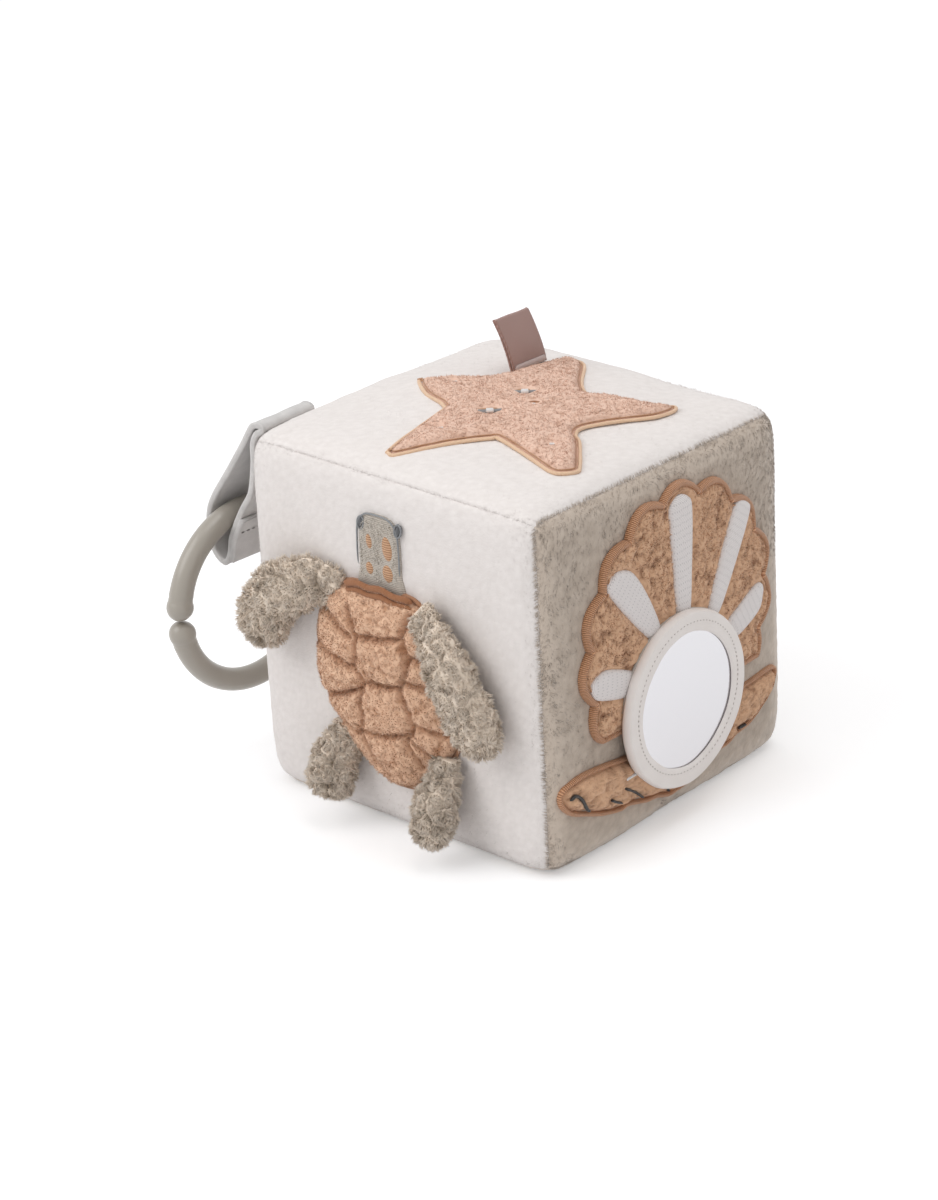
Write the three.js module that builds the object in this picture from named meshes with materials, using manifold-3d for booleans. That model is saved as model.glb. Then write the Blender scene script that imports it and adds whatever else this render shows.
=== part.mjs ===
// A baby's soft activity cube: six plush panels sewn round a foam block, with a turtle, a starfish and a
// scallop shell sewn on, a mirror, a woven label, and a plastic link ring in a fabric strap. Millimetres, +Z up.
// The turtle looks along -Y, the scallop along +X, the strap hangs on -X. The origin is under the block's middle.

import * as THREE from 'three';
import { mergeVertices } from 'three/addons/utils/BufferGeometryUtils.js';
import Module from 'manifold-3d';

const wasm = await Module();
wasm.setup();

// The block and its plush panels
const blockSize = 120;
const blockEdgeRadius = 9;
const topCrown = 4.5;
const sideCrown = 1;
const panelThickness = 2.5;
const restingCut = 0.5;
const leanShare = 0.013;
const clearance = 0.3;
const overrun = 30;

// The foam filling and the rattle in its pocket
const rattleRadius = 17;
const rattleHeight = 24;
const rattleWall = 1.6;
const rattleEdgeRadius = 3;
const beadRadius = 3.5;
const beadCircleRadius = 8;
const pocketRoom = 1;

// Appliques and their satin borders
const appliqueThickness = 2.4;
const borderWidth = 2;
const borderThickness = 1.8;
const embroideryThickness = 0.7;

// The starfish on the top panel
const starRadius = 50;
const starCentreShares = [0.0417, -0.0167];
const starTipRadius = 4;
const starValleyRadius = 10;
const starEyeLength = 8;
const starEyeWidth = 3.4;
const starNoseLength = 4.6;

// The turtle on the front panel
const shellWidth = 57;
const shellLength = 64;
const shellCentreShares = [-0.0042, -0.0792];
const shellPuff = 7;
const shellRimThickness = 1.6;
const quiltDepth = 2.2;
const quiltWidth = 4.2;
const hemRadius = 2;
const headWidth = 17;
const headLength = 22;
const headEyeSize = 4.2;
const flipperRootThickness = 3;
const flipperThickness = 13;
const flipperRootTuck = 6;

// The scallop and its lower valve on the right panel
const fanRadius = 46.5;
const fanCentreShares = [0.0183, 0.0417];
const fanLobeDepth = 3.6;
const rayFocusShares = [0.0167, -0.1];
const valveWidth = 106;
const valveDepth = 19;
const valveTopShares = [-0.0125, -0.2583];
const valveBumpHeight = 0.9;
const mirrorCentreShares = [-0.005, -0.15];
const mirrorRadius = 24.4;
const mirrorThickness = 1.2;
const mirrorPadThickness = 1.1;
const mirrorRingOuterRadius = 29;
const mirrorRingInnerRadius = 22.2;
const mirrorRingLip = 0.8;
const mirrorRingEdge = 0.8;

// The strap, the link ring and the woven label
const strapWidth = 23;
const strapThickness = 1.8;
const strapMiddle = -40.5;
const strapTabThickness = 2.6;
const ringRadius = 29.5;
const ringTubeRadius = 3.8;
const ringBallRadius = 4.4;
const ringGap = 0.5;
const ringOutward = 20.5;
const ringDrop = 33;
const ringForward = 2.5;
const ringTurn = 3.4;
const labelWidth = 17.5;
const labelHeight = 17.5;
const labelThickness = 1.2;
const labelPlaceShares = [-0.1625, 0.2542];
const labelTilt = 10;
const labelSkewShare = 0.25;

// Counts that set how finely the soft shapes are faceted
const cornerSteps = 4;
const shellRings = 13;
const shellBackRings = 3;
const shellSegments = 48;
const flipperRings = 11;
const flipperSides = 12;
const ringSteps = 36;
const ringSides = 6;
const strapSteps = 3;
const strapSamples = 48;
const roundSegments = 36;

const half = blockSize / 2;
const overPanel = ([right, up]) => [right * blockSize, up * blockSize];
const starCentre = overPanel(starCentreShares);
const shellCentre = overPanel(shellCentreShares);
const fanCentre = overPanel(fanCentreShares);
const rayFocus = overPanel(rayFocusShares);
const mirrorCentre = overPanel(mirrorCentreShares);
const labelPlace = overPanel(labelPlaceShares);
const [valveMiddle, valveTop] = overPanel(valveTopShares);
const cutSize = blockSize + 2 * overrun;
const blockCentre = new THREE.Vector3(0, 0, half - restingCut);
const cornerInset = blockEdgeRadius * (1 - Math.SQRT1_2);
const roundness = -Math.LN2 / Math.log(1 - cornerInset / half);
const gridShares = [-1, -0.96, -0.905, -0.83, -0.66, -0.34, 0, 0.34, 0.66, 0.83, 0.905, 0.96, 1];
const coarseShares = [-1, -0.93, -0.8, -0.4, 0, 0.4, 0.8, 0.93, 1];

const axisX = new THREE.Vector3(1, 0, 0);
const axisY = new THREE.Vector3(0, 1, 0);
const axisZ = new THREE.Vector3(0, 0, 1);
const faces = {
  top: { right: axisX, up: axisY, out: axisZ, crown: topCrown },
  bottom: { right: axisX, up: axisY.clone().negate(), out: axisZ.clone().negate(), crown: 0 },
  front: { right: axisX, up: axisZ, out: axisY.clone().negate(), crown: sideCrown },
  back: { right: axisX.clone().negate(), up: axisZ, out: axisY, crown: sideCrown },
  right: { right: axisY, up: axisZ, out: axisX, crown: sideCrown },
  left: { right: axisY.clone().negate(), up: axisZ, out: axisX.clone().negate(), crown: sideCrown },
};

// Colours and finishes
const plush = (color) => new THREE.MeshStandardMaterial({ color, roughness: 0.95, metalness: 0 });
const whitePlush = () => plush(0xeae5e2);
const taupePlush = () => plush(0xb0a598);
const peachPlush = () => plush(0xcba285);
const flipperPlush = () => plush(0xc0b8aa);
const satinThread = () => new THREE.MeshStandardMaterial({ color: 0xb8835f, roughness: 0.5, metalness: 0 });
const whiteThread = () => new THREE.MeshStandardMaterial({ color: 0xe6e1e0, roughness: 0.5, metalness: 0 });
const greyThread = () => new THREE.MeshStandardMaterial({ color: 0x6f6a66, roughness: 0.5, metalness: 0 });
const headCloth = () => new THREE.MeshStandardMaterial({ color: 0xcdc9c0, roughness: 0.7, metalness: 0 });
const strapCloth = () => new THREE.MeshStandardMaterial({ color: 0xcfcdcc, roughness: 0.85, metalness: 0 });
const labelCloth = () => new THREE.MeshStandardMaterial({ color: 0x9e7870, roughness: 0.7, metalness: 0 });
const leatherette = () => new THREE.MeshStandardMaterial({ color: 0xd9d3ce, roughness: 0.6, metalness: 0 });
const mirrorFoil = () => new THREE.MeshStandardMaterial({ color: 0xe2e2e4, roughness: 0.05, metalness: 1 });
const linkPlastic = () => new THREE.MeshStandardMaterial({ color: 0x9c978c, roughness: 0.4, metalness: 0 });
const rattlePlastic = () => new THREE.MeshStandardMaterial({ color: 0xf2f2f0, roughness: 0.4, metalness: 0 });
const foam = () => new THREE.MeshStandardMaterial({ color: 0xf4efdc, roughness: 1, metalness: 0 });

// The sewn block stands a little lopsided: its height falls from the corner by the strap to the one across.
function lean(point) {
  point.z *= 1 - leanShare * (point.x + point.y) / blockSize;
  return point;
}

function leanGeometry(geometry) {
  const position = geometry.attributes.position;
  const point = new THREE.Vector3();
  for (let i = 0; i < position.count; i++) {
    lean(point.fromBufferAttribute(position, i));
    position.setXYZ(i, point.x, point.y, point.z);
  }
  return geometry;
}

// The point over a face at right, up and out distances from the block's centre
function onFace(face, right, up, out) {
  return blockCentre.clone()
    .addScaledVector(face.right, right)
    .addScaledVector(face.up, up)
    .addScaledVector(face.out, out);
}

// How far the panel's outer surface lies from the block's centre, over a point of the face
function skinHeight(face, right, up) {
  const power = 1 - Math.abs(right / half) ** roundness - Math.abs(up / half) ** roundness;
  const crown = face.crown * (1 - (right / half) ** 2) * (1 - (up / half) ** 2);
  return half * Math.max(power, 0) ** (1 / roundness) + crown;
}

// A point of the rounded block's surface, moved out by an offset, for shares from -1 to 1 across a face
function surfacePoint(face, shareRight, shareUp, offset, seamInset) {
  const norm = (Math.abs(shareRight) ** roundness + Math.abs(shareUp) ** roundness + 1) ** (1 / roundness);
  const size = (half + offset) / norm;
  const crown = face.crown * (1 - shareRight ** 2) * (1 - shareUp ** 2);
  const shrink = 1 - seamInset / half;
  return onFace(face, size * shareRight * shrink, size * shareUp * shrink, size + crown);
}

// A geometry from a list of points and the triangles between them
function indexedGeometry(points, triangles) {
  const geometry = new THREE.BufferGeometry();
  const coordinates = points.flatMap((p) => [p.x, p.y, p.z]);
  geometry.setAttribute('position', new THREE.Float32BufferAttribute(coordinates, 3));
  geometry.setIndex(triangles);
  return geometry;
}

// The layer between two offsets of the block's surface, over one face
function faceLayer(face, innerOffset, outerOffset, seamInset = 0, shares = gridShares) {
  const count = shares.length;
  const points = [];
  for (const offset of [outerOffset, innerOffset]) {
    for (const up of shares) {
      for (const right of shares) {
        points.push(surfacePoint(face, right, up, offset, seamInset));
      }
    }
  }
  const inner = count * count;
  const triangles = [];
  for (let row = 0; row < count - 1; row++) {
    for (let column = 0; column < count - 1; column++) {
      const a = row * count + column;
      const b = a + 1;
      const c = a + count + 1;
      const d = a + count;
      triangles.push(a, b, c, a, c, d);
      triangles.push(inner + a, inner + c, inner + b, inner + a, inner + d, inner + c);
    }
  }
  for (let k = 0; k < count - 1; k++) {
    const last = count - 1;
    const edges = [
      [k, k + 1],
      [last + k * count, last + (k + 1) * count],
      [inner - 1 - k, inner - 2 - k],
      [(last - k) * count, (last - k - 1) * count],
    ];
    for (const [from, to] of edges) {
      triangles.push(from, inner + from, inner + to, from, inner + to, to);
    }
  }
  return indexedGeometry(points, triangles);
}

// The whole rounded block at one offset, closed over all six faces
function blockSolid(offset, shares) {
  const count = shares.length;
  const points = [];
  const triangles = [];
  for (const face of Object.values(faces)) {
    const start = points.length;
    for (const up of shares) {
      for (const right of shares) {
        points.push(surfacePoint(face, right, up, offset, 0));
      }
    }
    for (let row = 0; row < count - 1; row++) {
      for (let column = 0; column < count - 1; column++) {
        const a = start + row * count + column;
        triangles.push(a, a + 1, a + count + 1, a, a + count + 1, a + count);
      }
    }
  }
  return indexedGeometry(points, triangles);
}

function toManifold(geometry) {
  const bare = geometry.clone();
  bare.deleteAttribute('normal');
  bare.deleteAttribute('uv');
  const merged = mergeVertices(bare, 1e-4);
  const triVerts = new Uint32Array(merged.index.array);
  const vertProperties = new Float32Array(merged.attributes.position.array);
  return new wasm.Manifold(new wasm.Mesh({ numProp: 3, vertProperties, triVerts }));
}

function fromManifold(solid) {
  const mesh = solid.getMesh();
  const geometry = new THREE.BufferGeometry();
  geometry.setAttribute('position', new THREE.Float32BufferAttribute(mesh.vertProperties, 3));
  geometry.setIndex([...mesh.triVerts]);
  return geometry;
}

// Outlines are lists of Vector2 in a face's right and up directions, counter-clockwise
function polar(centre, angle, radius) {
  const turn = THREE.MathUtils.degToRad(angle);
  return new THREE.Vector2(centre[0] + radius * Math.cos(turn), centre[1] + radius * Math.sin(turn));
}

// A polygon whose corners are rounded by arcs of given radii
function roundedOutline(corners, radii) {
  const outline = [];
  corners.forEach((corner, i) => {
    const toBefore = corners[(i + corners.length - 1) % corners.length].clone().sub(corner).normalize();
    const toAfter = corners[(i + 1) % corners.length].clone().sub(corner).normalize();
    const halfAngle = Math.acos(toBefore.dot(toAfter)) / 2;
    const away = toBefore.clone().add(toAfter).setLength(radii[i] / Math.sin(halfAngle));
    const centre = corner.clone().add(away);
    const spoke = corner.clone().addScaledVector(toBefore, radii[i] / Math.tan(halfAngle)).sub(centre);
    const sweep = Math.sign(toAfter.cross(toBefore)) * (Math.PI - 2 * halfAngle);
    for (let k = 0; k <= cornerSteps; k++) {
      const turned = spoke.clone().rotateAround(new THREE.Vector2(), (sweep * k) / cornerSteps);
      outline.push(turned.add(centre));
    }
  });
  return outline;
}

// A smooth closed outline through a few points
function smoothOutline(points, samples) {
  const curve = new THREE.CatmullRomCurve3(points.map((p) => new THREE.Vector3(p.x, p.y, 0)), true);
  return curve.getPoints(samples).slice(0, samples).map((p) => new THREE.Vector2(p.x, p.y));
}

// The outline moved inwards by a distance, along the mean of the two edge normals at each point
function insetOutline(outline, distance) {
  return outline.map((point, i) => {
    const before = outline[(i + outline.length - 1) % outline.length];
    const after = outline[(i + 1) % outline.length];
    const normalBefore = point.clone().sub(before).normalize();
    const normalAfter = after.clone().sub(point).normalize();
    const mean = normalBefore.add(normalAfter).normalize();
    return new THREE.Vector2(point.x - mean.y * distance, point.y + mean.x * distance);
  });
}

// A straight prism over a face, cut through every layer that lies on it
function facePrism(face, outline, hole) {
  const shape = new THREE.Shape(outline);
  if (hole) {
    shape.holes.push(new THREE.Path(hole));
  }
  const prism = new THREE.ExtrudeGeometry(shape, { depth: 2 * overrun, bevelEnabled: false });
  const base = onFace(face, 0, 0, half - overrun);
  prism.applyMatrix4(new THREE.Matrix4().makeBasis(face.right, face.up, face.out).setPosition(base));
  return toManifold(prism);
}

const layerCache = new Map();
function layerSolid(faceName, innerOffset, outerOffset) {
  const key = `${faceName} ${innerOffset} ${outerOffset}`;
  if (!layerCache.has(key)) {
    layerCache.set(key, toManifold(faceLayer(faces[faceName], innerOffset, outerOffset)));
  }
  return layerCache.get(key);
}

// A cloth piece with a given outline, lying on a face between two offsets of its surface
function clothPiece(faceName, outline, innerOffset, outerOffset, hole) {
  return layerSolid(faceName, innerOffset, outerOffset).intersect(facePrism(faces[faceName], outline, hole));
}

const appliqueTop = clearance + appliqueThickness;
const applique = (faceName, outline) => clothPiece(
  faceName, insetOutline(outline, borderWidth + clearance), clearance, appliqueTop,
);
const border = (faceName, outline) => clothPiece(
  faceName, outline, clearance, clearance + borderThickness, insetOutline(outline, borderWidth),
);
const embroidery = (faceName, outline) => clothPiece(
  faceName, outline, appliqueTop + clearance, appliqueTop + clearance + embroideryThickness,
);

function ellipseOutline(centre, length, width, angle, samples) {
  const turn = THREE.MathUtils.degToRad(angle);
  const [right, up] = centre;
  const curve = new THREE.EllipseCurve(right, up, length / 2, width / 2, 0, 2 * Math.PI, false, turn);
  return curve.getPoints(samples).slice(0, samples);
}

// The finished object is gathered here, each piece a named mesh
const group = new THREE.Group();

function addPiece(parent, name, geometry, material) {
  const mesh = new THREE.Mesh(geometry, material);
  mesh.name = name;
  parent.add(mesh);
  return mesh;
}

const addSewn = (parent, name, solid, material) => (
  addPiece(parent, name, leanGeometry(fromManifold(solid)), material)
);

// A piece that swings is kept in a group at its hinge
function addHinged(name, geometry, material, hinge) {
  const pivot = new THREE.Group();
  pivot.position.copy(hinge);
  group.add(pivot);
  return addPiece(pivot, name, geometry.translate(-hinge.x, -hinge.y, -hinge.z), material);
}

// Six plush panels, mitred where they are sewn together, the lower one flat where it rests
function addPanels() {
  const colours = {
    top: whitePlush,
    bottom: taupePlush,
    front: whitePlush,
    back: taupePlush,
    right: taupePlush,
    left: whitePlush,
  };
  const seamInset = clearance * Math.SQRT1_2;
  const below = new THREE.BoxGeometry(cutSize, cutSize, cutSize).translate(0, 0, -cutSize / 2);
  for (const [name, face] of Object.entries(faces)) {
    let panel = toManifold(faceLayer(face, -panelThickness, 0, seamInset));
    if (name === 'bottom') {
      panel = panel.subtract(toManifold(below));
    }
    addSewn(group, `${name}_panel`, panel, colours[name]());
  }
}

// Two foam halves meet at mid height round a pocket that holds the rattle
function addFoam() {
  const body = toManifold(blockSolid(-panelThickness - clearance, coarseShares));
  const pocketRadius = rattleRadius + pocketRoom;
  const pocket = new THREE.CylinderGeometry(pocketRadius, pocketRadius, rattleHeight + 2 * pocketRoom, 18);
  pocket.rotateX(Math.PI / 2).translate(blockCentre.x, blockCentre.y, blockCentre.z);
  const cut = new THREE.BoxGeometry(cutSize, cutSize, cutSize + clearance);
  const hollow = body.subtract(toManifold(pocket));
  const upper = hollow.subtract(toManifold(cut.clone().translate(0, 0, blockCentre.z - cutSize / 2)));
  const lower = hollow.subtract(toManifold(cut.clone().translate(0, 0, blockCentre.z + cutSize / 2)));
  addSewn(group, 'foam_block_upper', upper, foam());
  addSewn(group, 'foam_block_lower', lower, foam());
}

// The rattle: two plastic cups, mouth to mouth, with three beads loose inside
function addRattle() {
  const cupHeight = (rattleHeight - clearance) / 2;
  const inside = rattleRadius - rattleWall;
  const innerEdge = rattleEdgeRadius - rattleWall;
  const profile = [
    [0, 0], [rattleRadius - rattleEdgeRadius, 0],
    [rattleRadius - rattleEdgeRadius * (1 - Math.SQRT1_2), cornerRise(rattleEdgeRadius)],
    [rattleRadius, rattleEdgeRadius], [rattleRadius, cupHeight], [inside, cupHeight],
    [inside, rattleEdgeRadius], [inside - innerEdge * (1 - Math.SQRT1_2), rattleWall + cornerRise(innerEdge)],
    [rattleRadius - rattleEdgeRadius, rattleWall], [0, rattleWall],
  ].map(([r, z]) => new THREE.Vector2(r, z));
  const cup = new THREE.LatheGeometry(profile, 18).rotateX(Math.PI / 2);
  const lower = addPiece(group, 'rattle_cup_lower', cup, rattlePlastic());
  lower.position.copy(blockCentre).addScaledVector(axisZ, -rattleHeight / 2);
  const upper = addPiece(group, 'rattle_cup_upper', cup.clone(), rattlePlastic());
  upper.rotation.x = Math.PI;
  upper.position.copy(blockCentre).addScaledVector(axisZ, rattleHeight / 2);
  const beadLevel = blockCentre.z - rattleHeight / 2 + rattleWall + clearance + beadRadius;
  for (let i = 0; i < 3; i++) {
    const ball = new THREE.SphereGeometry(beadRadius, 10, 6).rotateX(Math.PI / 2);
    const bead = addPiece(group, `rattle_bead_${i + 1}`, ball, linkPlastic());
    const angle = (i * 2 * Math.PI) / 3;
    bead.position.set(beadCircleRadius * Math.cos(angle), beadCircleRadius * Math.sin(angle), beadLevel);
  }
}

function cornerRise(radius) {
  return radius * (1 - Math.SQRT1_2);
}

// The starfish: an uneven five-armed applique with a satin border, two sleepy eyes and a nose
function addStarfish() {
  const tipShares = [[42.9, 0.96], [113.6, 1.02], [178.1, 0.89], [256.3, 0.98], [327.1, 1.01]];
  const valleyShares = [[66.9, 0.48], [143.9, 0.56], [219.4, 0.475], [292.6, 0.49], [353.4, 0.495]];
  const corners = [];
  const radii = [];
  tipShares.forEach(([angle, share], i) => {
    corners.push(polar(starCentre, angle, share * starRadius + 1.5 * starTipRadius));
    radii.push(starTipRadius);
    corners.push(polar(starCentre, valleyShares[i][0], valleyShares[i][1] * starRadius));
    radii.push(starValleyRadius);
  });
  const outline = roundedOutline(corners, radii);
  addSewn(group, 'starfish', applique('top', outline), peachPlush());
  addSewn(group, 'starfish_border', border('top', outline), satinThread());
  const eyePlaceShares = [[-0.064, -0.208], [-0.104, 0.168]];
  eyePlaceShares.forEach(([right, up], i) => {
    const centre = [starCentre[0] + right * starRadius, starCentre[1] + up * starRadius];
    const eye = ellipseOutline(centre, starEyeLength, starEyeWidth, 95, 12);
    addSewn(group, `starfish_eye_${i + 1}`, embroidery('top', eye), greyThread());
  });
  const noseCentre = [starCentre[0] + 0.076 * starRadius, starCentre[1] + 0.044 * starRadius];
  const nose = ellipseOutline(noseCentre, starNoseLength, starEyeWidth, 95, 10);
  addSewn(group, 'starfish_nose', embroidery('top', nose), satinThread());
}

// The outline of the turtle's shell, flat along the neck, widest below its middle
function shellOutline(grow) {
  const pointShares = [
    [0.22, 0.49], [0, 0.5], [-0.25, 0.49], [-0.4, 0.41], [-0.475, 0.28], [-0.505, 0.1], [-0.49, -0.05],
    [-0.41, -0.2], [-0.26, -0.34], [-0.09, -0.47], [0.04, -0.5], [0.18, -0.47], [0.33, -0.35],
    [0.44, -0.24], [0.49, -0.1], [0.485, 0.08], [0.43, 0.24], [0.35, 0.38],
  ];
  const points = pointShares.map(([right, up]) => new THREE.Vector2(
    shellCentre[0] + right * shellWidth, shellCentre[1] + up * shellLength,
  ));
  return insetOutline(smoothOutline(points, shellSegments), -grow);
}

// Distance from a point to a stretch of quilting seam
function seamDistance(point, from, to) {
  const along = to.clone().sub(from);
  const share = THREE.MathUtils.clamp(point.clone().sub(from).dot(along) / along.lengthSq(), 0, 1);
  return point.distanceTo(from.clone().addScaledVector(along, share));
}

// The quilting seams: a column of six-sided scutes with seams that run out to the rim on both sides
function quiltSeams() {
  const column = 0.14 * shellWidth;
  const corner = 0.2 * shellWidth;
  const rim = 0.6 * shellWidth;
  const step = 0.24 * shellLength;
  const middle = shellCentre[0] + 0.05 * shellWidth;
  const topCross = shellCentre[1] + 0.3 * shellLength;
  const seams = [];
  for (let row = 0; row < 3; row++) {
    const level = topCross - row * step;
    const cornerLevel = level - step / 2;
    for (const side of [-1, 1]) {
      const inner = new THREE.Vector2(middle + side * column, level);
      const outer = new THREE.Vector2(middle + side * corner, cornerLevel);
      const next = new THREE.Vector2(middle + side * column, level - step);
      seams.push([inner, outer], [outer, next]);
      seams.push([outer, new THREE.Vector2(middle + side * rim, cornerLevel + (1 - row) * step * 0.35)]);
    }
    seams.push([new THREE.Vector2(middle - column, level), new THREE.Vector2(middle + column, level)]);
  }
  const top = topCross + step / 2;
  for (const side of [-1, 1]) {
    const inner = new THREE.Vector2(middle + side * column, topCross);
    seams.push([inner, new THREE.Vector2(middle + side * corner, top)]);
  }
  return seams;
}

// The padded shell: it rises from the rim to a soft dome and dips at each quilting seam
function shellSolid(grow) {
  const face = faces.front;
  const rim = shellOutline(grow);
  const seams = quiltSeams();
  const centre = new THREE.Vector2(shellCentre[0], shellCentre[1]);
  const base = clearance - grow;
  const heightAt = (point, share) => {
    const nearest = Math.min(...seams.map(([from, to]) => seamDistance(point, from, to)));
    const dip = quiltDepth * Math.exp(-((nearest / quiltWidth) ** 2) * 2) * (1 - share ** 4);
    return shellRimThickness + shellPuff * (1 - share ** 3) ** 0.75 - dip + 2 * grow;
  };
  const points = [];
  const addPoint = (point, share, isTop) => {
    const height = base + (isTop ? heightAt(point, share) : 0);
    points.push(onFace(face, point.x, point.y, skinHeight(face, point.x, point.y) + height));
  };
  const triangles = [];
  const rims = [];
  for (const [isTop, rings] of [[true, shellRings], [false, shellBackRings]]) {
    const start = points.length;
    addPoint(centre, 0, isTop);
    for (let ring = 1; ring <= rings; ring++) {
      const share = Math.sin((ring / rings) * Math.PI / 2);
      for (const edge of rim) {
        addPoint(centre.clone().lerp(edge, share), share, isTop);
      }
    }
    for (let k = 0; k < shellSegments; k++) {
      const next = (k + 1) % shellSegments;
      const fan = [start, start + 1 + k, start + 1 + next];
      triangles.push(...(isTop ? fan : fan.reverse()));
      for (let ring = 0; ring < rings - 1; ring++) {
        const a = start + 1 + ring * shellSegments + k;
        const b = start + 1 + ring * shellSegments + next;
        const quad = [a, a + shellSegments, b + shellSegments, a, b + shellSegments, b];
        triangles.push(...(isTop ? quad : quad.reverse()));
      }
    }
    rims.push(points.length - shellSegments);
  }
  const [upperRim, lowerRim] = rims;
  for (let k = 0; k < shellSegments; k++) {
    const next = (k + 1) % shellSegments;
    triangles.push(upperRim + k, lowerRim + k, lowerRim + next);
    triangles.push(upperRim + k, lowerRim + next, upperRim + next);
  }
  return toManifold(indexedGeometry(points, triangles));
}

// The turtle: padded shell, satin edge, rolled hem at the neck, and a flat embroidered head
function addTurtle() {
  const face = faces.front;
  const outer = shellOutline(borderWidth);
  const gap = shellOutline(clearance);
  addSewn(group, 'turtle_shell', shellSolid(0), peachPlush());
  const rimBorder = clothPiece('front', outer, clearance, clearance + borderThickness / 2, gap);
  addSewn(group, 'turtle_shell_border', rimBorder, satinThread());

  const hemLevel = shellCentre[1] + shellLength / 2 + borderWidth + clearance + hemRadius;
  const hemHalf = shellWidth * 0.24;
  const hemMiddle = shellCentre[0] - 0.025 * shellWidth;
  const hemPoints = [-1, -0.5, 0, 0.5, 1].map((share) => {
    const right = hemMiddle + share * hemHalf;
    const up = hemLevel - share ** 2 * hemRadius / 2;
    return onFace(face, right, up, skinHeight(face, right, up) + appliqueTop + clearance + hemRadius);
  });
  const hemSection = new THREE.Shape().absarc(0, 0, hemRadius, 0, 2 * Math.PI);
  const hem = new THREE.ExtrudeGeometry(hemSection, {
    steps: 10, curveSegments: 5, bevelEnabled: false, extrudePath: new THREE.CatmullRomCurve3(hemPoints),
  });
  addSewn(group, 'turtle_shell_hem', toManifold(hem), satinThread());

  const headBase = hemLevel - hemRadius;
  const headMiddle = shellCentre[0] - 0.02 * shellWidth;
  const headShares = [
    [-0.5, 0], [0.5, 0], [0.5, 0.45], [0.47, 0.8], [0.3, 0.97],
    [0, 1], [-0.3, 0.97], [-0.47, 0.8], [-0.5, 0.45],
  ];
  const headPoint = (right, up) => (
    new THREE.Vector2(headMiddle + right * headWidth, headBase + up * headLength)
  );
  const headOutline = headShares.map(([right, up]) => headPoint(right, up));
  const shellKeepOut = facePrism(face, shellOutline(borderWidth + clearance));
  const headSolid = clothPiece('front', headOutline, clearance, appliqueTop).subtract(shellKeepOut);
  addSewn(group, 'turtle_head', headSolid, headCloth());
  const eyeShares = [[-0.36, 0.82], [0.44, 0.85]];
  eyeShares.forEach(([right, up], i) => {
    const centre = headPoint(right, up);
    const eye = ellipseOutline([centre.x, centre.y], headEyeSize, headEyeSize / 2, 90, 10);
    addSewn(group, `turtle_eye_${i + 1}`, embroidery('front', eye), greyThread());
  });
  const patchShares = [[-0.2, 0.6, 0.168], [0.22, 0.62, 0.256], [-0.22, 0.28, 0.144], [0.2, 0.3, 0.184]];
  patchShares.forEach(([right, up, share], i) => {
    const centre = headPoint(right, up);
    const length = share * headLength;
    const patch = ellipseOutline([centre.x, centre.y], length, length * 0.6, 100, 10);
    addSewn(group, `turtle_head_patch_${i + 1}`, embroidery('front', patch), satinThread());
  });
}

// One loose flipper: a stuffed tube, flat and narrow at its sewn root, round at its tip. The route gives places
// on the front panel and how far the flipper's middle is lifted off the panel beyond its own half thickness.
function flipperSolid(route, width) {
  const face = faces.front;
  const curve = new THREE.CatmullRomCurve3(route.map((place) => new THREE.Vector3(...place)));
  const rootWidthShare = 0.66;
  const tipRoundShare = 0.26;
  const leastWidthShare = 0.08;
  const points = [];
  for (let ring = 0; ring <= flipperRings; ring++) {
    const share = 1 - Math.cos((ring / flipperRings) * Math.PI / 2);
    const place = curve.getPoint(1 - share);
    const tangent = curve.getTangent(1 - share);
    const along = new THREE.Vector2(tangent.x, tangent.y).normalize();
    const across = new THREE.Vector2(-along.y, along.x);
    const fromRoot = THREE.MathUtils.smoothstep(1 - share, 0, 0.5);
    const fromTip = Math.max(1 - share / tipRoundShare, 0);
    const reach = Math.max(Math.sqrt(1 - fromTip ** 2), leastWidthShare);
    const halfWidth = (width / 2) * THREE.MathUtils.lerp(rootWidthShare, 1, fromRoot) * reach;
    const rootHalf = flipperRootThickness / 2;
    const halfThickness = (rootHalf + (flipperThickness / 2 - rootHalf) * fromRoot) * reach;
    const fullHalf = rootHalf + (flipperThickness / 2 - rootHalf) * fromRoot;
    for (let side = 0; side < flipperSides; side++) {
      const angle = (side / flipperSides) * 2 * Math.PI;
      const right = place.x + across.x * halfWidth * Math.cos(angle);
      const up = place.y + across.y * halfWidth * Math.cos(angle);
      const skin = skinHeight(face, place.x, place.y);
      const out = skin + clearance + place.z + fullHalf + halfThickness * Math.sin(angle);
      points.push(onFace(face, right, up, out));
    }
  }
  const caps = [0, flipperRings].map((ring) => {
    const sum = new THREE.Vector3();
    for (let side = 0; side < flipperSides; side++) {
      sum.add(points[ring * flipperSides + side]);
    }
    points.push(sum.divideScalar(flipperSides));
    return points.length - 1;
  });
  const triangles = [];
  for (let side = 0; side < flipperSides; side++) {
    const next = (side + 1) % flipperSides;
    for (let ring = 0; ring < flipperRings; ring++) {
      const a = ring * flipperSides + side;
      const b = ring * flipperSides + next;
      triangles.push(a, b, b + flipperSides, a, b + flipperSides, a + flipperSides);
    }
    const last = flipperRings * flipperSides;
    triangles.push(caps[0], next, side, caps[1], last + side, last + next);
  }
  const solid = toManifold(indexedGeometry(points, triangles));
  return solid.volume() < 0 ? toManifold(indexedGeometry(points, triangles.reverse())) : solid;
}

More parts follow.
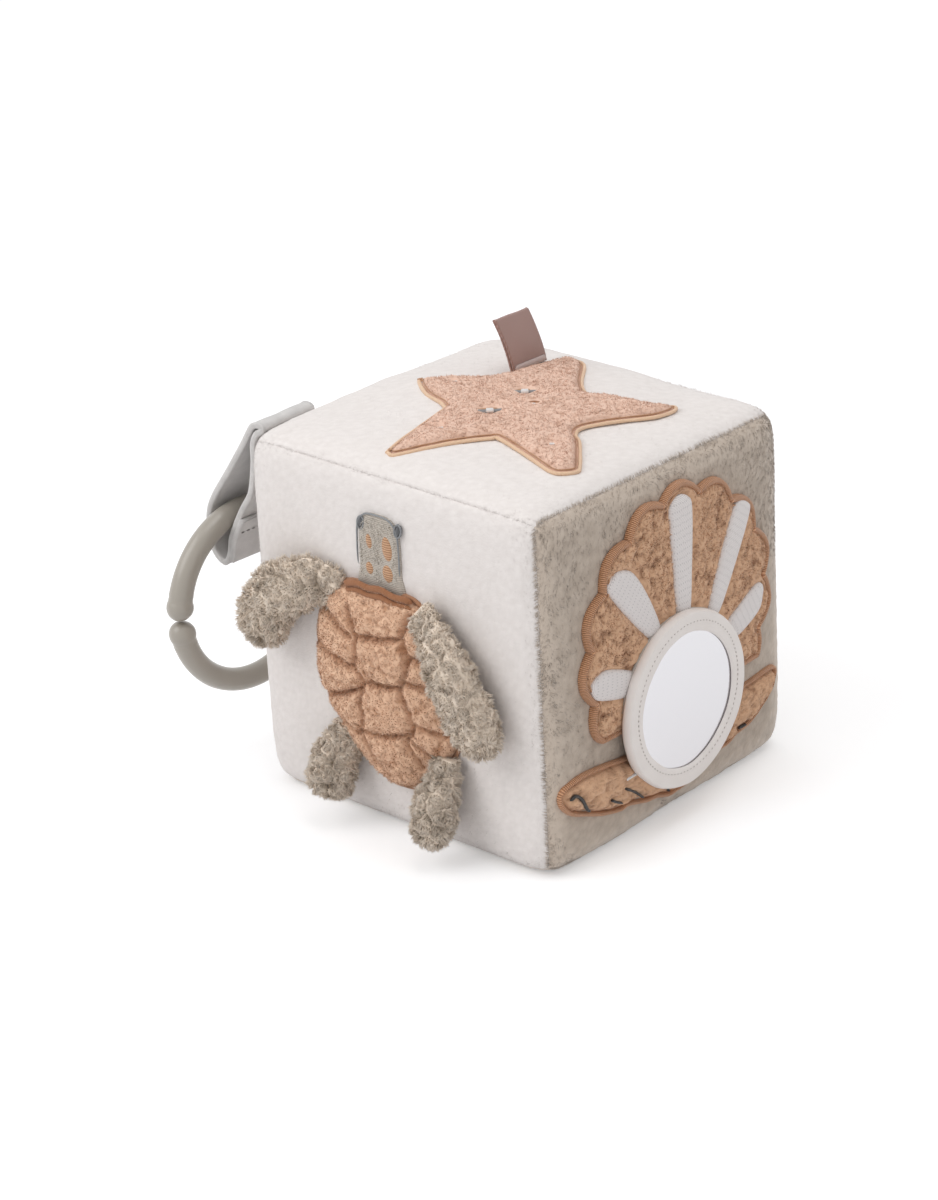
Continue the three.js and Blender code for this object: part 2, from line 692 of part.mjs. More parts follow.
// Four loose flippers, each hinged where its root is sewn down, a little way in under the shell
function addFlippers() {
  const routeShares = {
    flipper_front_left: [
      0.34, [-0.31, 0.48, 0], [-0.42, 0.52, 0.08], [-0.55, 0.49, 0.24],
      [-0.74, 0.36, 0.33], [-0.86, 0.1, 0.41],
    ],
    flipper_front_right: [
      0.32, [0.3, 0.54, 0.45], [0.46, 0.41, 0.49], [0.61, 0.2, 0.33], [0.77, -0.14, 0.16],
    ],
    flipper_rear_left: [0.28, [-0.31, -0.31, 0], [-0.34, -0.46, 0.16], [-0.39, -0.69, 0.41]],
    flipper_rear_right: [0.25, [0.42, -0.27, 0.33], [0.42, -0.49, 0.41], [0.385, -0.735, 0.73]],
  };
  const rimKeepOut = clothPiece('front', shellOutline(borderWidth + clearance), 0, clearance + borderThickness);
  const keepOut = toManifold(blockSolid(clearance, gridShares)).add(shellSolid(clearance)).add(rimKeepOut);
  for (const [name, [widthShare, ...shares]] of Object.entries(routeShares)) {
    const route = shares.map(([right, up, lift]) => [
      shellCentre[0] + right * shellWidth, shellCentre[1] + up * shellWidth, lift * shellPuff,
    ]);
    const solid = flipperSolid(route, widthShare * shellWidth).subtract(keepOut);
    const [start, next] = route.map(([right, up]) => new THREE.Vector2(right, up));
    const root = start.clone().add(start.clone().sub(next).setLength(flipperRootTuck));
    const rootMiddle = clearance + route[0][2] + flipperRootThickness / 2;
    const rootOut = skinHeight(faces.front, root.x, root.y) + rootMiddle;
    const hinge = lean(onFace(faces.front, root.x, root.y, rootOut));
    addHinged(name, leanGeometry(fromManifold(solid)), flipperPlush(), hinge);
  }
}

// The scallop: a fan with a scalloped satin border, five embroidered rays, and a shallow lower valve
function addScallop() {
  const lobeAngle = 24;
  const fanStart = -33;
  const fanEnd = 213;
  const outline = [];
  for (let angle = fanStart; angle <= fanEnd; angle += lobeAngle / 6) {
    const lobe = Math.abs(Math.cos(THREE.MathUtils.degToRad((angle - 15) * 180 / lobeAngle)));
    outline.push(polar(fanCentre, angle, fanRadius - fanLobeDepth * (1 - lobe ** 0.8)));
  }
  const closingShares = [[-0.46, -0.59], [-0.05, -0.62], [0.4, -0.6]];
  closingShares.forEach(([right, up]) => {
    outline.push(new THREE.Vector2(fanCentre[0] + right * fanRadius, fanCentre[1] + up * fanRadius));
  });
  addSewn(group, 'scallop', applique('right', outline), peachPlush());
  addSewn(group, 'scallop_border', border('right', outline), satinThread());

  const keepOutWidth = 2 * (mirrorRingOuterRadius + clearance);
  const keepOutOutline = ellipseOutline(mirrorCentre, keepOutWidth, keepOutWidth, 0, roundSegments);
  const mirrorKeepOut = facePrism(faces.right, keepOutOutline);
  const rayShares = [
    [163, 0.4, 0.96, 0.17, 0.23], [125, 0.4, 1.11, 0.1, 0.27], [90, 0.4, 1.26, 0.11, 0.25],
    [60, 0.4, 1.17, 0.06, 0.2], [21, 0.45, 0.97, 0.1, 0.19],
  ];
  rayShares.forEach(([angle, from, to, innerWidth, outerWidth], i) => {
    const focus = new THREE.Vector2(...rayFocus);
    const start = from * fanRadius;
    const round = outerWidth * fanRadius / 2;
    const end = to * fanRadius - round;
    const points = [[start, innerWidth * fanRadius / 2], [start, -innerWidth * fanRadius / 2]];
    for (let k = 0; k <= 6; k++) {
      const bend = (k / 6 - 0.5) * Math.PI;
      points.push([end + round * Math.cos(bend), round * Math.sin(bend)]);
    }
    const ray = points.map(([along, across]) => (
      new THREE.Vector2(along, across).add(focus).rotateAround(focus, THREE.MathUtils.degToRad(angle))
    ));
    addSewn(group, `scallop_ray_${i + 1}`, embroidery('right', ray).subtract(mirrorKeepOut), whiteThread());
  });

  const halfWidth = valveWidth / 2;
  const valve = [];
  const bumps = 9;
  const bumpSteps = 5;
  for (let k = 0; k <= bumps * bumpSteps; k++) {
    const share = -1 + (2 * k) / (bumps * bumpSteps);
    const sag = Math.max(1 - share ** 2, 0) ** 0.6;
    const bump = valveBumpHeight * Math.abs(Math.sin((k / bumpSteps) * Math.PI)) * sag;
    valve.push(new THREE.Vector2(valveMiddle + share * halfWidth, valveTop - valveDepth * sag - bump));
  }
  for (let k = 1; k < 8; k++) {
    const share = 1 - (2 * k) / 8;
    const rise = (1 - share ** 2) * valveBumpHeight + valveBumpHeight;
    valve.push(new THREE.Vector2(valveMiddle + share * halfWidth, valveTop + rise));
  }
  addSewn(group, 'lower_valve', applique('right', valve), peachPlush());
  addSewn(group, 'lower_valve_border', border('right', valve), satinThread());
}

// The mirror: a felt pad, a silvered disc and a leatherette ring that laps over the disc's edge
function addMirror() {
  const face = faces.right;
  const padRadius = mirrorRingOuterRadius - mirrorRingEdge;
  const padBack = appliqueTop + clearance;
  const padFront = half + sideCrown + padBack + mirrorPadThickness;
  const outline = ellipseOutline(mirrorCentre, 2 * padRadius, 2 * padRadius, 0, roundSegments);
  const shape = new THREE.Shape(outline);
  const prism = new THREE.ExtrudeGeometry(shape, { depth: overrun, bevelEnabled: false });
  const base = onFace(face, 0, 0, padFront - overrun);
  prism.applyMatrix4(new THREE.Matrix4().makeBasis(face.right, face.up, face.out).setPosition(base));
  const pad = toManifold(prism).subtract(toManifold(blockSolid(padBack, gridShares)));
  addSewn(group, 'mirror_pad', pad, whitePlush());

  const centre = lean(onFace(face, mirrorCentre[0], mirrorCentre[1], padFront + clearance));
  const disc = new THREE.CylinderGeometry(mirrorRadius, mirrorRadius, mirrorThickness, roundSegments);
  disc.translate(0, mirrorThickness / 2, 0);
  const ringBack = mirrorThickness + clearance;
  const profile = [
    [mirrorRingInnerRadius, ringBack], [mirrorRadius + clearance, ringBack], [mirrorRadius + clearance, 0],
    [mirrorRingOuterRadius, 0], [mirrorRingOuterRadius, ringBack],
    [mirrorRingOuterRadius - mirrorRingEdge, ringBack + mirrorRingLip],
    [mirrorRingInnerRadius, ringBack + mirrorRingLip], [mirrorRingInnerRadius, ringBack],
  ].map(([r, y]) => new THREE.Vector2(r, y));
  const ring = new THREE.LatheGeometry(profile, roundSegments);
  const glass = addPiece(group, 'mirror_disc', disc, mirrorFoil());
  const frame = addPiece(group, 'mirror_ring', ring, leatherette());
  for (const mesh of [glass, frame]) {
    mesh.rotation.z = -Math.PI / 2;
    mesh.position.copy(centre);
  }
}

// Where the strap's tab is sewn into the seam between the top and left panels
function strapRoot() {
  const seam = half / 2 ** (1 / roundness);
  const middle = lean(new THREE.Vector3(-seam, strapMiddle - strapWidth / 2, blockCentre.z + seam));
  const away = (strapTabThickness / 2 + clearance) * Math.SQRT1_2;
  return new THREE.Vector3(middle.x - away, strapMiddle, middle.z + away);
}

// The top of the ring's middle line, which the strap's loop carries
function ringTop() {
  const root = strapRoot();
  return new THREE.Vector3(root.x - ringOutward, strapMiddle - ringForward, root.z - ringDrop);
}

// The strap: a flat loop of cloth that hangs open round the ring and is drawn together at the seam
function addStrap() {
  const root = strapRoot();
  const loopShares = [
    [0.1, -0.003], [0.179, 0.085], [0.33, 0.32], [0.512, 0.582], [0.72, 0.872], [0.805, 1.079],
    [0.812, 1.3], [0.755, 1.47], [0.633, 1.539], [0.555, 1.44], [0.505, 1.239], [0.342, 0.933],
    [0.203, 0.709], [0.142, 0.406], [0.13, 0.194], [0.08, 0.085],
  ];
  const middle = loopShares.map(([out, down]) => new THREE.Vector2(
    root.x - out * ringDrop, root.z - down * ringDrop,
  ));
  const path = smoothOutline(middle, strapSamples);
  const outside = insetOutline(path, -strapThickness / 2);
  const inside = insetOutline(path, strapThickness / 2);
  const shape = new THREE.Shape(outside);
  shape.holes.push(new THREE.Path(inside));
  const loop = new THREE.ExtrudeGeometry(shape, {
    depth: strapWidth, steps: strapSteps, bevelEnabled: false,
  });
  const tabHalf = strapTabThickness / 2;
  const tab = new THREE.Shape();
  tab.absarc(root.x, root.z, tabHalf, -Math.PI / 2, Math.PI / 2, false);
  tab.lineTo(root.x - 0.1 * ringDrop, root.z + strapThickness / 2);
  tab.lineTo(root.x - 0.09 * ringDrop, root.z - tabHalf);
  const tabSolid = new THREE.ExtrudeGeometry(tab, {
    depth: strapWidth, steps: strapSteps, curveSegments: 6, bevelEnabled: false,
  });
  const upright = new THREE.Matrix4().makeBasis(axisX, axisZ, axisY.clone().negate());
  upright.setPosition(0, strapMiddle + strapWidth / 2, 0);
  const solids = [loop, tabSolid].map((geometry) => toManifold(geometry.applyMatrix4(upright)));
  const strap = fromManifold(solids[0].add(solids[1]));
  const position = strap.attributes.position;
  const slope = Math.tan(THREE.MathUtils.degToRad(ringTurn));
  for (let i = 0; i < position.count; i++) {
    const share = THREE.MathUtils.clamp((root.z - position.getZ(i)) / ringDrop, 0, 1);
    position.setX(i, position.getX(i) + slope * share * (position.getY(i) - strapMiddle));
  }
  addHinged('hanging_strap', strap, strapCloth(), root);
}

// The link ring: a round plastic ring, open at one place between two ball ends
function addLinkRing() {
  const halfGap = Math.asin((ringBallRadius + ringGap / 2) / ringRadius);
  class RingPath extends THREE.Curve {
    getPoint(share, target = new THREE.Vector3()) {
      const angle = Math.PI + halfGap + share * 2 * (Math.PI - halfGap);
      return target.set(0, ringRadius * Math.cos(angle), ringRadius * Math.sin(angle));
    }
  }
  const path = new RingPath();
  const section = new THREE.Shape().absarc(0, 0, ringTubeRadius, 0, 2 * Math.PI);
  const tube = new THREE.ExtrudeGeometry(section, {
    steps: ringSteps, curveSegments: ringSides, bevelEnabled: false, extrudePath: path,
  });
  let solid = toManifold(tube);
  for (const share of [0, 1]) {
    const end = path.getPoint(share);
    const ball = new THREE.SphereGeometry(ringBallRadius, 12, 8).translate(end.x, end.y, end.z);
    solid = solid.add(toManifold(ball));
  }
  const ring = fromManifold(solid);
  ring.translate(0, 0, -ringRadius);
  ring.rotateZ(-THREE.MathUtils.degToRad(ringTurn));
  const hinge = ringTop();
  ring.translate(hinge.x, hinge.y, hinge.z);
  addHinged('link_ring', ring, linkPlastic(), hinge);
}

// The woven label stands up beside the starfish, sewn down along its lower edge
function addLabel() {
  const face = faces.top;
  const [right, up] = labelPlace;
  const ends = [-0.5, 0.5].map((share) => {
    const along = up + share * labelWidth;
    return lean(onFace(face, right, along, skinHeight(face, right, along) + clearance + labelThickness / 2));
  });
  const hinge = ends[0].clone().lerp(ends[1], 0.5).addScaledVector(face.out, clearance / 2);
  const outline = new THREE.Shape();
  outline.absarc(0, 0, labelThickness / 2, Math.PI, 2 * Math.PI, false);
  outline.lineTo(labelThickness / 2, labelHeight);
  outline.lineTo(-labelThickness / 2, labelHeight);
  const label = new THREE.ExtrudeGeometry(outline, {
    depth: labelWidth, curveSegments: 4, bevelEnabled: false,
  });
  label.translate(0, 0, -labelWidth / 2).rotateX(Math.PI / 2);
  label.applyMatrix4(new THREE.Matrix4().makeShear(0, 0, 0, 0, 0, -labelSkewShare));
  label.rotateY(-THREE.MathUtils.degToRad(labelTilt)).rotateX((ends[1].z - ends[0].z) / labelWidth);
  label.translate(hinge.x, hinge.y, hinge.z);
  addHinged('woven_label', label, labelCloth(), hinge);
}

addPanels();
addFoam();
addRattle();
addStarfish();
addTurtle();
addFlippers();
addScallop();
addMirror();
addStrap();
addLinkRing();
addLabel();

export default group;
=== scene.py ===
import math

import bpy
import numpy as np
from mathutils import Matrix, Vector


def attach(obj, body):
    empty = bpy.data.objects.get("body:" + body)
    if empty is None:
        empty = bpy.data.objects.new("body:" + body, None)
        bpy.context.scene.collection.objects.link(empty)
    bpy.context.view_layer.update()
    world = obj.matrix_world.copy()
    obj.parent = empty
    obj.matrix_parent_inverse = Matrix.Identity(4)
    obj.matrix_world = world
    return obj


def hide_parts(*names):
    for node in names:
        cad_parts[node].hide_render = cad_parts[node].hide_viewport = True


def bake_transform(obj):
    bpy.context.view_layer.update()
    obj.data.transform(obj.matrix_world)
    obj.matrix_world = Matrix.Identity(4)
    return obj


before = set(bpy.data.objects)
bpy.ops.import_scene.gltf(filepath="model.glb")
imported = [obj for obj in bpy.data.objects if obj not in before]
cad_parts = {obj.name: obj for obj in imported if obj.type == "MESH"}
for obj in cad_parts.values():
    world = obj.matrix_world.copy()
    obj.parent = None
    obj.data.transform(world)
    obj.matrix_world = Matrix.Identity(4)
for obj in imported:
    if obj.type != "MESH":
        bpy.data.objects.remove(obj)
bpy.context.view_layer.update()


# Stage: a long lens a metre away looks down on the edge between the turtle and the scallop panels. The floor
# is plain and pale, under one soft lamp from the front left and one from above.
def in_scene(name, data):
    """A new object for a mesh, lamp or camera, linked into the scene."""
    made = bpy.data.objects.new(name, data)
    bpy.context.scene.collection.objects.link(made)
    return made


def feed(tree, node, sockets):
    """Gives each named or numbered socket of a shader node a plain value or another node's output."""
    for socket, value in sockets.items():
        if isinstance(value, bpy.types.NodeSocket):
            tree.links.new(value, node.inputs[socket])
        else:
            node.inputs[socket].default_value = value


def add(tree, kind, sockets=None, **settings):
    """A new shader node with its settings and sockets. Returns its outputs."""
    node = tree.nodes.new("ShaderNode" + kind)
    for label, value in settings.items():
        setattr(node, label, value)
    feed(tree, node, sockets or {})
    return node.outputs


def new_material(name, sockets):
    """A material with some sockets of its Principled shader set. Returns it, its node tree and that
    shader."""
    material = bpy.data.materials.new(name)
    material.use_nodes = True
    surface = material.node_tree.nodes["Principled BSDF"]
    feed(material.node_tree, surface, sockets)
    return material, material.node_tree, surface


def strength_seen(tree, surface, socket, unseen, seen):
    """Sets a strength: seen for rays from the camera and through mirror and glass, and unseen for the
    others."""
    ray = add(tree, "LightPath")
    share = ray["Is Camera Ray"]
    for kind in ("Is Glossy Ray", "Is Transmission Ray"):
        share = add(tree, "Math", {0: share, 1: ray[kind]}, operation="MAXIMUM")[0]
    level = add(tree, "MapRange", {"Value": share, "To Min": unseen, "To Max": seen})
    feed(tree, surface, {socket: level["Result"]})


view_turn, view_height, view_roll = (math.radians(angle) for angle in (42.594, 24.163, 2.999))
level_back = Vector((math.sin(view_turn), -math.cos(view_turn), 0))
view_back = math.cos(view_height) * level_back + Vector((0, 0, math.sin(view_height)))
level_right = Vector((math.cos(view_turn), math.sin(view_turn), 0))
level_up = view_back.cross(level_right)
camera_right = math.cos(view_roll) * level_right - math.sin(view_roll) * level_up
camera_up = math.sin(view_roll) * level_right + math.cos(view_roll) * level_up
lens = bpy.data.cameras.new("camera")
lens.sensor_fit = "VERTICAL"
lens.sensor_height = 36
lens.lens = 96.17
lens.clip_start = 0.05
camera = in_scene("camera", lens)
camera.matrix_world = Matrix((camera_right, camera_up, view_back)).transposed().to_4x4()
camera.location = (0.6162, -0.6946, 0.4746)
bpy.context.scene.camera = camera
bpy.context.scene.view_settings.view_transform = "Standard"

world = bpy.data.worlds.new("studio")
bpy.context.scene.world = world
world.use_nodes = True
sky = world.node_tree.nodes["Background"]
feed(world.node_tree, sky, {"Color": (1, 1, 1, 1)})
strength_seen(world.node_tree, sky, "Strength", 0.62, 1.0)

lamps = (("key_light", (-0.75, -1.25, 1.35), 1.3, 12.5), ("top_light", (0.2, 0.1, 1.9), 1.2, 8.8))
for name, place, size, power in lamps:
    lamp = bpy.data.lights.new(name, "AREA")
    lamp.size = size
    lamp.energy = power
    light = in_scene(name, lamp)
    light.location = place
    light.rotation_euler = (Vector((0, 0, 0.06)) - Vector(place)).to_track_quat("-Z", "Y").to_euler()

floor_paint, tree, surface = new_material("floor_paint", {
    "Base Color": (0.87, 0.87, 0.88, 1), "Roughness": 0.9, "Specular IOR Level": 0.0,
    "Emission Color": (1, 1, 1, 1),
})
strength_seen(tree, surface, "Emission Strength", 0.0, 0.3)
floor_mesh = bpy.data.meshes.new("floor")
floor_mesh.from_pydata([(-6, -6, 0), (6, -6, 0), (6, 6, 0), (-6, 6, 0)], [], [(0, 1, 2, 3)])
floor_mesh.materials.append(floor_paint)
in_scene("floor", floor_mesh)


# The block: six plush panels, cut from short-pile polyester plush and sewn inside out along all twelve edges.
# Turned and filled, the panels bulge a little, and each seam lies in a shallow crease where the pile parts.
half_block = 0.060
middle_height = 0.0595
edge_radius = 0.009
squareness = -math.log(2) / math.log(1 - edge_radius * (1 - math.sqrt(0.5)) / half_block)
lean_share = 0.013
panel_depth = 0.0025
panel_grid = 135
sides = {
    "top": ((1, 0, 0), (0, 1, 0), (0, 0, 1), 0.0045),
    "bottom": ((1, 0, 0), (0, -1, 0), (0, 0, -1), 0.0),
    "front": ((1, 0, 0), (0, 0, 1), (0, -1, 0), 0.001),
    "back": ((-1, 0, 0), (0, 0, 1), (0, 1, 0), 0.001),
    "right": ((0, 1, 0), (0, 0, 1), (1, 0, 0), 0.001),
    "left": ((0, -1, 0), (0, 0, 1), (-1, 0, 0), 0.001),
}


def scrambled(corner, seed):
    """A number from 0 to 1 for each whole-number lattice corner, from products and shifts of its three
    numbers."""
    n = corner[..., 0] * 73856093 ^ corner[..., 1] * 19349663 ^ corner[..., 2] * 83492791 ^ seed * 2654435761
    n = (n ^ (n >> 13)) * 1274126177 & 0xFFFFFFFF
    return ((n ^ (n >> 16)) & 0xFFFF) / 65535.0


def soft_noise(points, size, seed):
    """Lattice noise from -1 to 1: the values at the eight corners round a point, blended by smooth steps."""
    q = points / size
    low = np.floor(q).astype(np.int64)
    f = q - low
    f = f * f * (3 - 2 * f)
    total = np.zeros(len(points))
    for corner in np.ndindex(2, 2, 2):
        share = np.prod(np.where(np.array(corner) == 1, f, 1 - f), axis=1)
        total += share * scrambled(low + np.array(corner), seed)
    return total * 2 - 1


def tufts(points, size, seed):
    """Cell noise: each lattice cell holds one scattered tuft. For each point, the distance to the nearest
    tuft's middle over the cell size, the way to that middle, and that tuft's own number from 0 to 1."""
    q = points / size
    low = np.floor(q).astype(np.int64)
    nearest = np.full(len(points), 9.0)
    way = np.zeros_like(points)
    own = np.zeros(len(points))
    for step in np.ndindex(3, 3, 3):
        cell = low + np.array(step) - 1
        middle = cell + np.stack([scrambled(cell, seed + k) for k in range(3)], axis=1)
        apart = middle - q
        distance = np.linalg.norm(apart, axis=1)
        closer = distance < nearest
        nearest = np.where(closer, distance, nearest)
        way[closer] = apart[closer] * size
        own[closer] = scrambled(cell[closer], seed + 7)
    return nearest, way, own


def unit(vectors):
    """The same directions, each of length one."""
    return vectors / np.maximum(np.linalg.norm(vectors, axis=-1, keepdims=True), 1e-15)


def leaned(points):
    """The filled block stands a little lopsided: height falls by a small share of x plus y."""
    moved = points.copy()
    moved[..., 2] *= 1 - lean_share * (points[..., 0] + points[..., 1]) / (2 * half_block)
    return moved


def side_spot(side, right_by, up_by, out_by):
    """The leaned point at distances right, up and out from the block's middle, as one side sees them."""
    right, up, out, _ = (np.array(v) for v in sides[side])
    spot = right_by[..., None] * right + up_by[..., None] * up + out_by[..., None] * out
    return leaned(spot + np.array((0, 0, middle_height)))


def panel_point(side, a, b, offset):
    """The block's surface: the direction (a, b, 1) of one side scaled to a rounded cube of high power, with a
    low crown (1 - a a)(1 - b b) added outwards, moved out by offset and leaned. a and b run from -1 to 1."""
    norm = (np.abs(a) ** squareness + np.abs(b) ** squareness + 1) ** (1 / squareness)
    size = (half_block + offset) / norm
    return side_spot(side, size * a, size * b, size + sides[side][3] * (1 - a**2) * (1 - b**2))


def over_panel(side, right_by, up_by, height):
    """The point at a height above one side's plush, at distances right and up from the middle of that
    side."""
    a, b = right_by / half_block, up_by / half_block
    power = np.maximum(1 - np.abs(a) ** squareness - np.abs(b) ** squareness, 0)
    rise = half_block * power ** (1 / squareness) + sides[side][3] * (1 - a**2) * (1 - b**2) + height
    return side_spot(side, right_by, up_by, rise)


def grid_normals(grid):
    """Unit normals of a grid of points: the cross product of its two directions of change."""
    return unit(np.cross(np.gradient(grid, axis=1), np.gradient(grid, axis=0)))


def grid_faces(rows, columns, start=0, wrap=False, loop=False):
    """The quads of a grid of points kept row by row, and the map place of each corner. wrap joins the last
    column to the first, and loop the last row to the first."""
    across = columns if wrap else columns - 1
    down = rows if loop else rows - 1
    r, c = np.meshgrid(np.arange(down), np.arange(across), indexing="ij")
    r, c = r.ravel(), c.ravel()
    below, after = (r + 1) % rows, (c + 1) % columns
    near, far = r * columns + start, below * columns + start
    quads = np.stack([near + c, near + after, far + after, far + c], 1)
    u = np.stack([c, c + 1, c + 1, c], 1) / across
    v = np.stack([r, r, r + 1, r + 1], 1) / down
    return quads, np.stack([u, v], -1)


def in_map(uv, left, low, right, high):
    """Map places from the unit square moved into one rectangle of the map."""
    return uv * np.array([right - left, high - low]) + np.array([left, low])


def corner_map(maps):
    """One list of map places, corner by corner, from the places of each kind of face."""
    return np.concatenate([places.reshape(-1, 2) for places in maps])


def make_piece(name, points, faces, material, body, corner_uv=None, tuft=None, threads=None):
    """A mesh from whole arrays: points, a list of face arrays (quads or triangles), one map place for each
    face corner, how high each point lies in the pile, from 0 to 1, which the pile colours turn into painted
    shade low down and painted light on top, and a second map for the yarns, in millimetres. A piece that
    bends between two bodies has no body of its own."""
    mesh = bpy.data.meshes.new(name)
    mesh.vertices.add(len(points))
    mesh.vertices.foreach_set("co", np.ascontiguousarray(points, np.float32).ravel())
    corners = np.concatenate([f.ravel() for f in faces])
    counts = np.concatenate([np.full(len(f), f.shape[1]) for f in faces])
    mesh.loops.add(len(corners))
    mesh.loops.foreach_set("vertex_index", corners.astype(np.int32))
    mesh.polygons.add(len(counts))
    mesh.polygons.foreach_set("loop_start", np.concatenate([[0], np.cumsum(counts)[:-1]]).astype(np.int32))
    mesh.polygons.foreach_set("use_smooth", np.full(len(counts), True))
    for label, places in (("OFBake", corner_uv), ("thread", threads)):
        if places is not None:
            layer = mesh.uv_layers.new(name=label)
            layer.data.foreach_set("uv", np.ascontiguousarray(places, np.float32).ravel())
    if tuft is not None:
        attribute = mesh.attributes.new("tuft", "FLOAT", "POINT")
        attribute.data.foreach_set("value", tuft.astype(np.float32))
    mesh.update(calc_edges=True)
    mesh.validate()
    mesh.materials.append(material)
    piece = in_scene(name, mesh)
    if body is not None:
        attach(piece, body)
    return piece


def dress(node=None):
    """Hides the solid that a piece takes the place of, when one is given."""
    if node is not None:
        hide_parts(node)


def srgb(code):
    """A colour written as six hex digits, as linear red, green and blue."""
    values = [int(code[i : i + 2], 16) / 255 for i in (0, 2, 4)]
    return tuple(v / 12.92 if v <= 0.04045 else ((v + 0.055) / 1.055) ** 2.4 for v in values) + (1,)


def new_group(name, inputs):
    """A shader node group that puts out a colour and a height, with its named inputs, colours or numbers."""
    group = bpy.data.node_groups.new(name, "ShaderNodeTree")
    for label, value in inputs.items():
        kind = "NodeSocketColor" if isinstance(value, tuple) else "NodeSocketFloat"
        group.interface.new_socket(label, in_out="INPUT", socket_type=kind).default_value = value
    for label, kind in (("Color", "NodeSocketColor"), ("Height", "NodeSocketFloat")):
        group.interface.new_socket(label, in_out="OUTPUT", socket_type=kind)
    return group, group.nodes.new("NodeGroupInput").outputs, group.nodes.new("NodeGroupOutput")


def two_tone(tree, share, low, high):
    """A colour between two, by a share that changes over the surface."""
    return add(tree, "Mix", {"Factor": share, 6: low, 7: high}, data_type="RGBA")[2]


def relief(tree, surface, height, strength, distance):
    """Fine relief: a height that tilts the shader's normal."""
    bump = add(tree, "Bump", {"Height": height, "Strength": strength, "Distance": distance})
    feed(tree, surface, {"Normal": bump["Normal"]})


# Pile: the root colour is painted shade deep between the tufts and the tip colour painted light on their
# tops, mixed by each point's tuft value, with a soft mottle where the pile is brushed apart, and fine hairs
# as height.
pile_group, given, put_out = new_group("pile", {
    "Root": (0.3, 0.2, 0.1, 1), "Tip": (0.6, 0.5, 0.4, 1), "Mottle": 0.3, "Hair Size": 1500.0,
    "Brush Size": 90.0,
})
place = add(pile_group, "TexCoord")["Object"]
hairs = add(pile_group, "TexNoise", {"Vector": place, "Scale": given["Hair Size"], "Detail": 3})["Fac"]
brush = {"Vector": place, "Scale": given["Brush Size"], "Detail": 4, "Distortion": 0.6}
brushed = add(pile_group, "TexNoise", brush)["Fac"]
uneven = add(pile_group, "Math", {0: hairs, 1: brushed}, operation="ADD")[0]
centred = add(pile_group, "Math", {0: uneven, 1: 1.0}, operation="SUBTRACT")[0]
# Painted shade and light: the tuft value darkens the pile low between the tufts and lightens it on their
# tops.
painted_pile_shade = add(pile_group, "Attribute", attribute_name="tuft")["Fac"]
mottle = {0: centred, 1: given["Mottle"], 2: painted_pile_shade}
mottle_and_pile_shade = add(pile_group, "Math", mottle, operation="MULTIPLY_ADD", use_clamp=True)[0]
pile_colour = two_tone(pile_group, mottle_and_pile_shade, given["Root"], given["Tip"])
feed(pile_group, put_out, {"Color": pile_colour, "Height": uneven})


def plush(name, root, tip, mottle, hair_size, brush_size, bump, sheen=0.25):
    """Plush or boucle cloth: dull, with the pile group's colours and hair, and a soft sheen at its edges."""
    material, tree, surface = new_material(name, {
        "Roughness": 0.95, "Specular IOR Level": 0.15, "Sheen Weight": sheen, "Sheen Roughness": 0.5,
    })
    pile = add(tree, "Group", {
        "Root": srgb(root), "Tip": srgb(tip), "Mottle": mottle, "Hair Size": hair_size,
        "Brush Size": brush_size,
    }, node_tree=pile_group)
    feed(tree, surface, {"Base Color": pile["Color"]})
    relief(tree, surface, pile["Height"], bump, 0.0006)
    return material


def strands(name, roots, normals, lean, length, width, tuft, material, body, seed, curl=0.5):
    """Fibres as closed three-sided spikes with one bend. Each starts at a root a little inside the cloth,
    rises along the normal turned towards lean, bends at half its length and ends in a point. Each has its own
    cell of the map."""
    count = len(roots)
    chance = np.random.default_rng(seed)
    side = unit(np.cross(normals, chance.normal(size=(count, 3))))
    over = np.cross(normals, side)
    rise = unit(normals + lean + curl * chance.normal(size=(count, 3)) * 0.5)
    onward = rise + lean * 0.9 + curl * chance.normal(size=(count, 3))
    onward -= np.minimum((onward * normals).sum(1), 0.1)[:, None] * normals * 0.8
    long = (length * chance.uniform(0.6, 1.15, count))[:, None]
    knee = roots + rise * long * 0.5
    points = np.zeros((count, 7, 3))
    for k in range(3):
        angle = k * 2 * math.pi / 3
        around = math.cos(angle) * side + math.sin(angle) * over
        points[:, k] = roots - normals * long * 0.12 + around * width * 0.5
        points[:, 3 + k] = knee + around * width * 0.36
    points[:, 6] = knee + unit(onward) * long * 0.5
    first = (np.arange(count) * 7)[:, None]
    quads = np.concatenate([first + np.array([[k, (k + 1) % 3, 3 + (k + 1) % 3, 3 + k]]) for k in range(3)])
    peaks = np.concatenate([first + np.array([[3 + k, 3 + (k + 1) % 3, 6]]) for k in range(3)])
    butts = first + np.array([[2, 1, 0]])
    across = int(math.ceil(math.sqrt(count)))
    cell = np.stack([np.arange(count) % across, np.arange(count) // across], 1)[:, None] / across
    inside = 0.92 / across
    left, right = np.arange(3) / 3, (np.arange(3) + 1) / 3
    walls = [np.array([[a, 0.1], [b, 0.1], [b, 0.55], [a, 0.55]]) for a, b in zip(left, right)]
    points_up = [np.array([[a, 0.55], [b, 0.55], [(a + b) / 2, 1.0]]) for a, b in zip(left, right)]
    butt = np.array([[0.0, 0.0], [0.5, 0.09], [1.0, 0.0]])
    uv = corner_map([cell + shape * inside for shape in (*walls, *points_up, butt)])
    # Painted shade along each fibre: darker at its root, down in the cloth, and lighter towards its tip.
    high = np.repeat(tuft[:, None], 7, 1) * np.array([0.8, 0.8, 0.8, 0.95, 0.95, 0.95, 1])
    high[:, 6] = np.minimum(tuft + 0.12, 1)
    return make_piece(name, points.reshape(-1, 3), [quads, peaks, butts], material, body, uv, high.ravel())


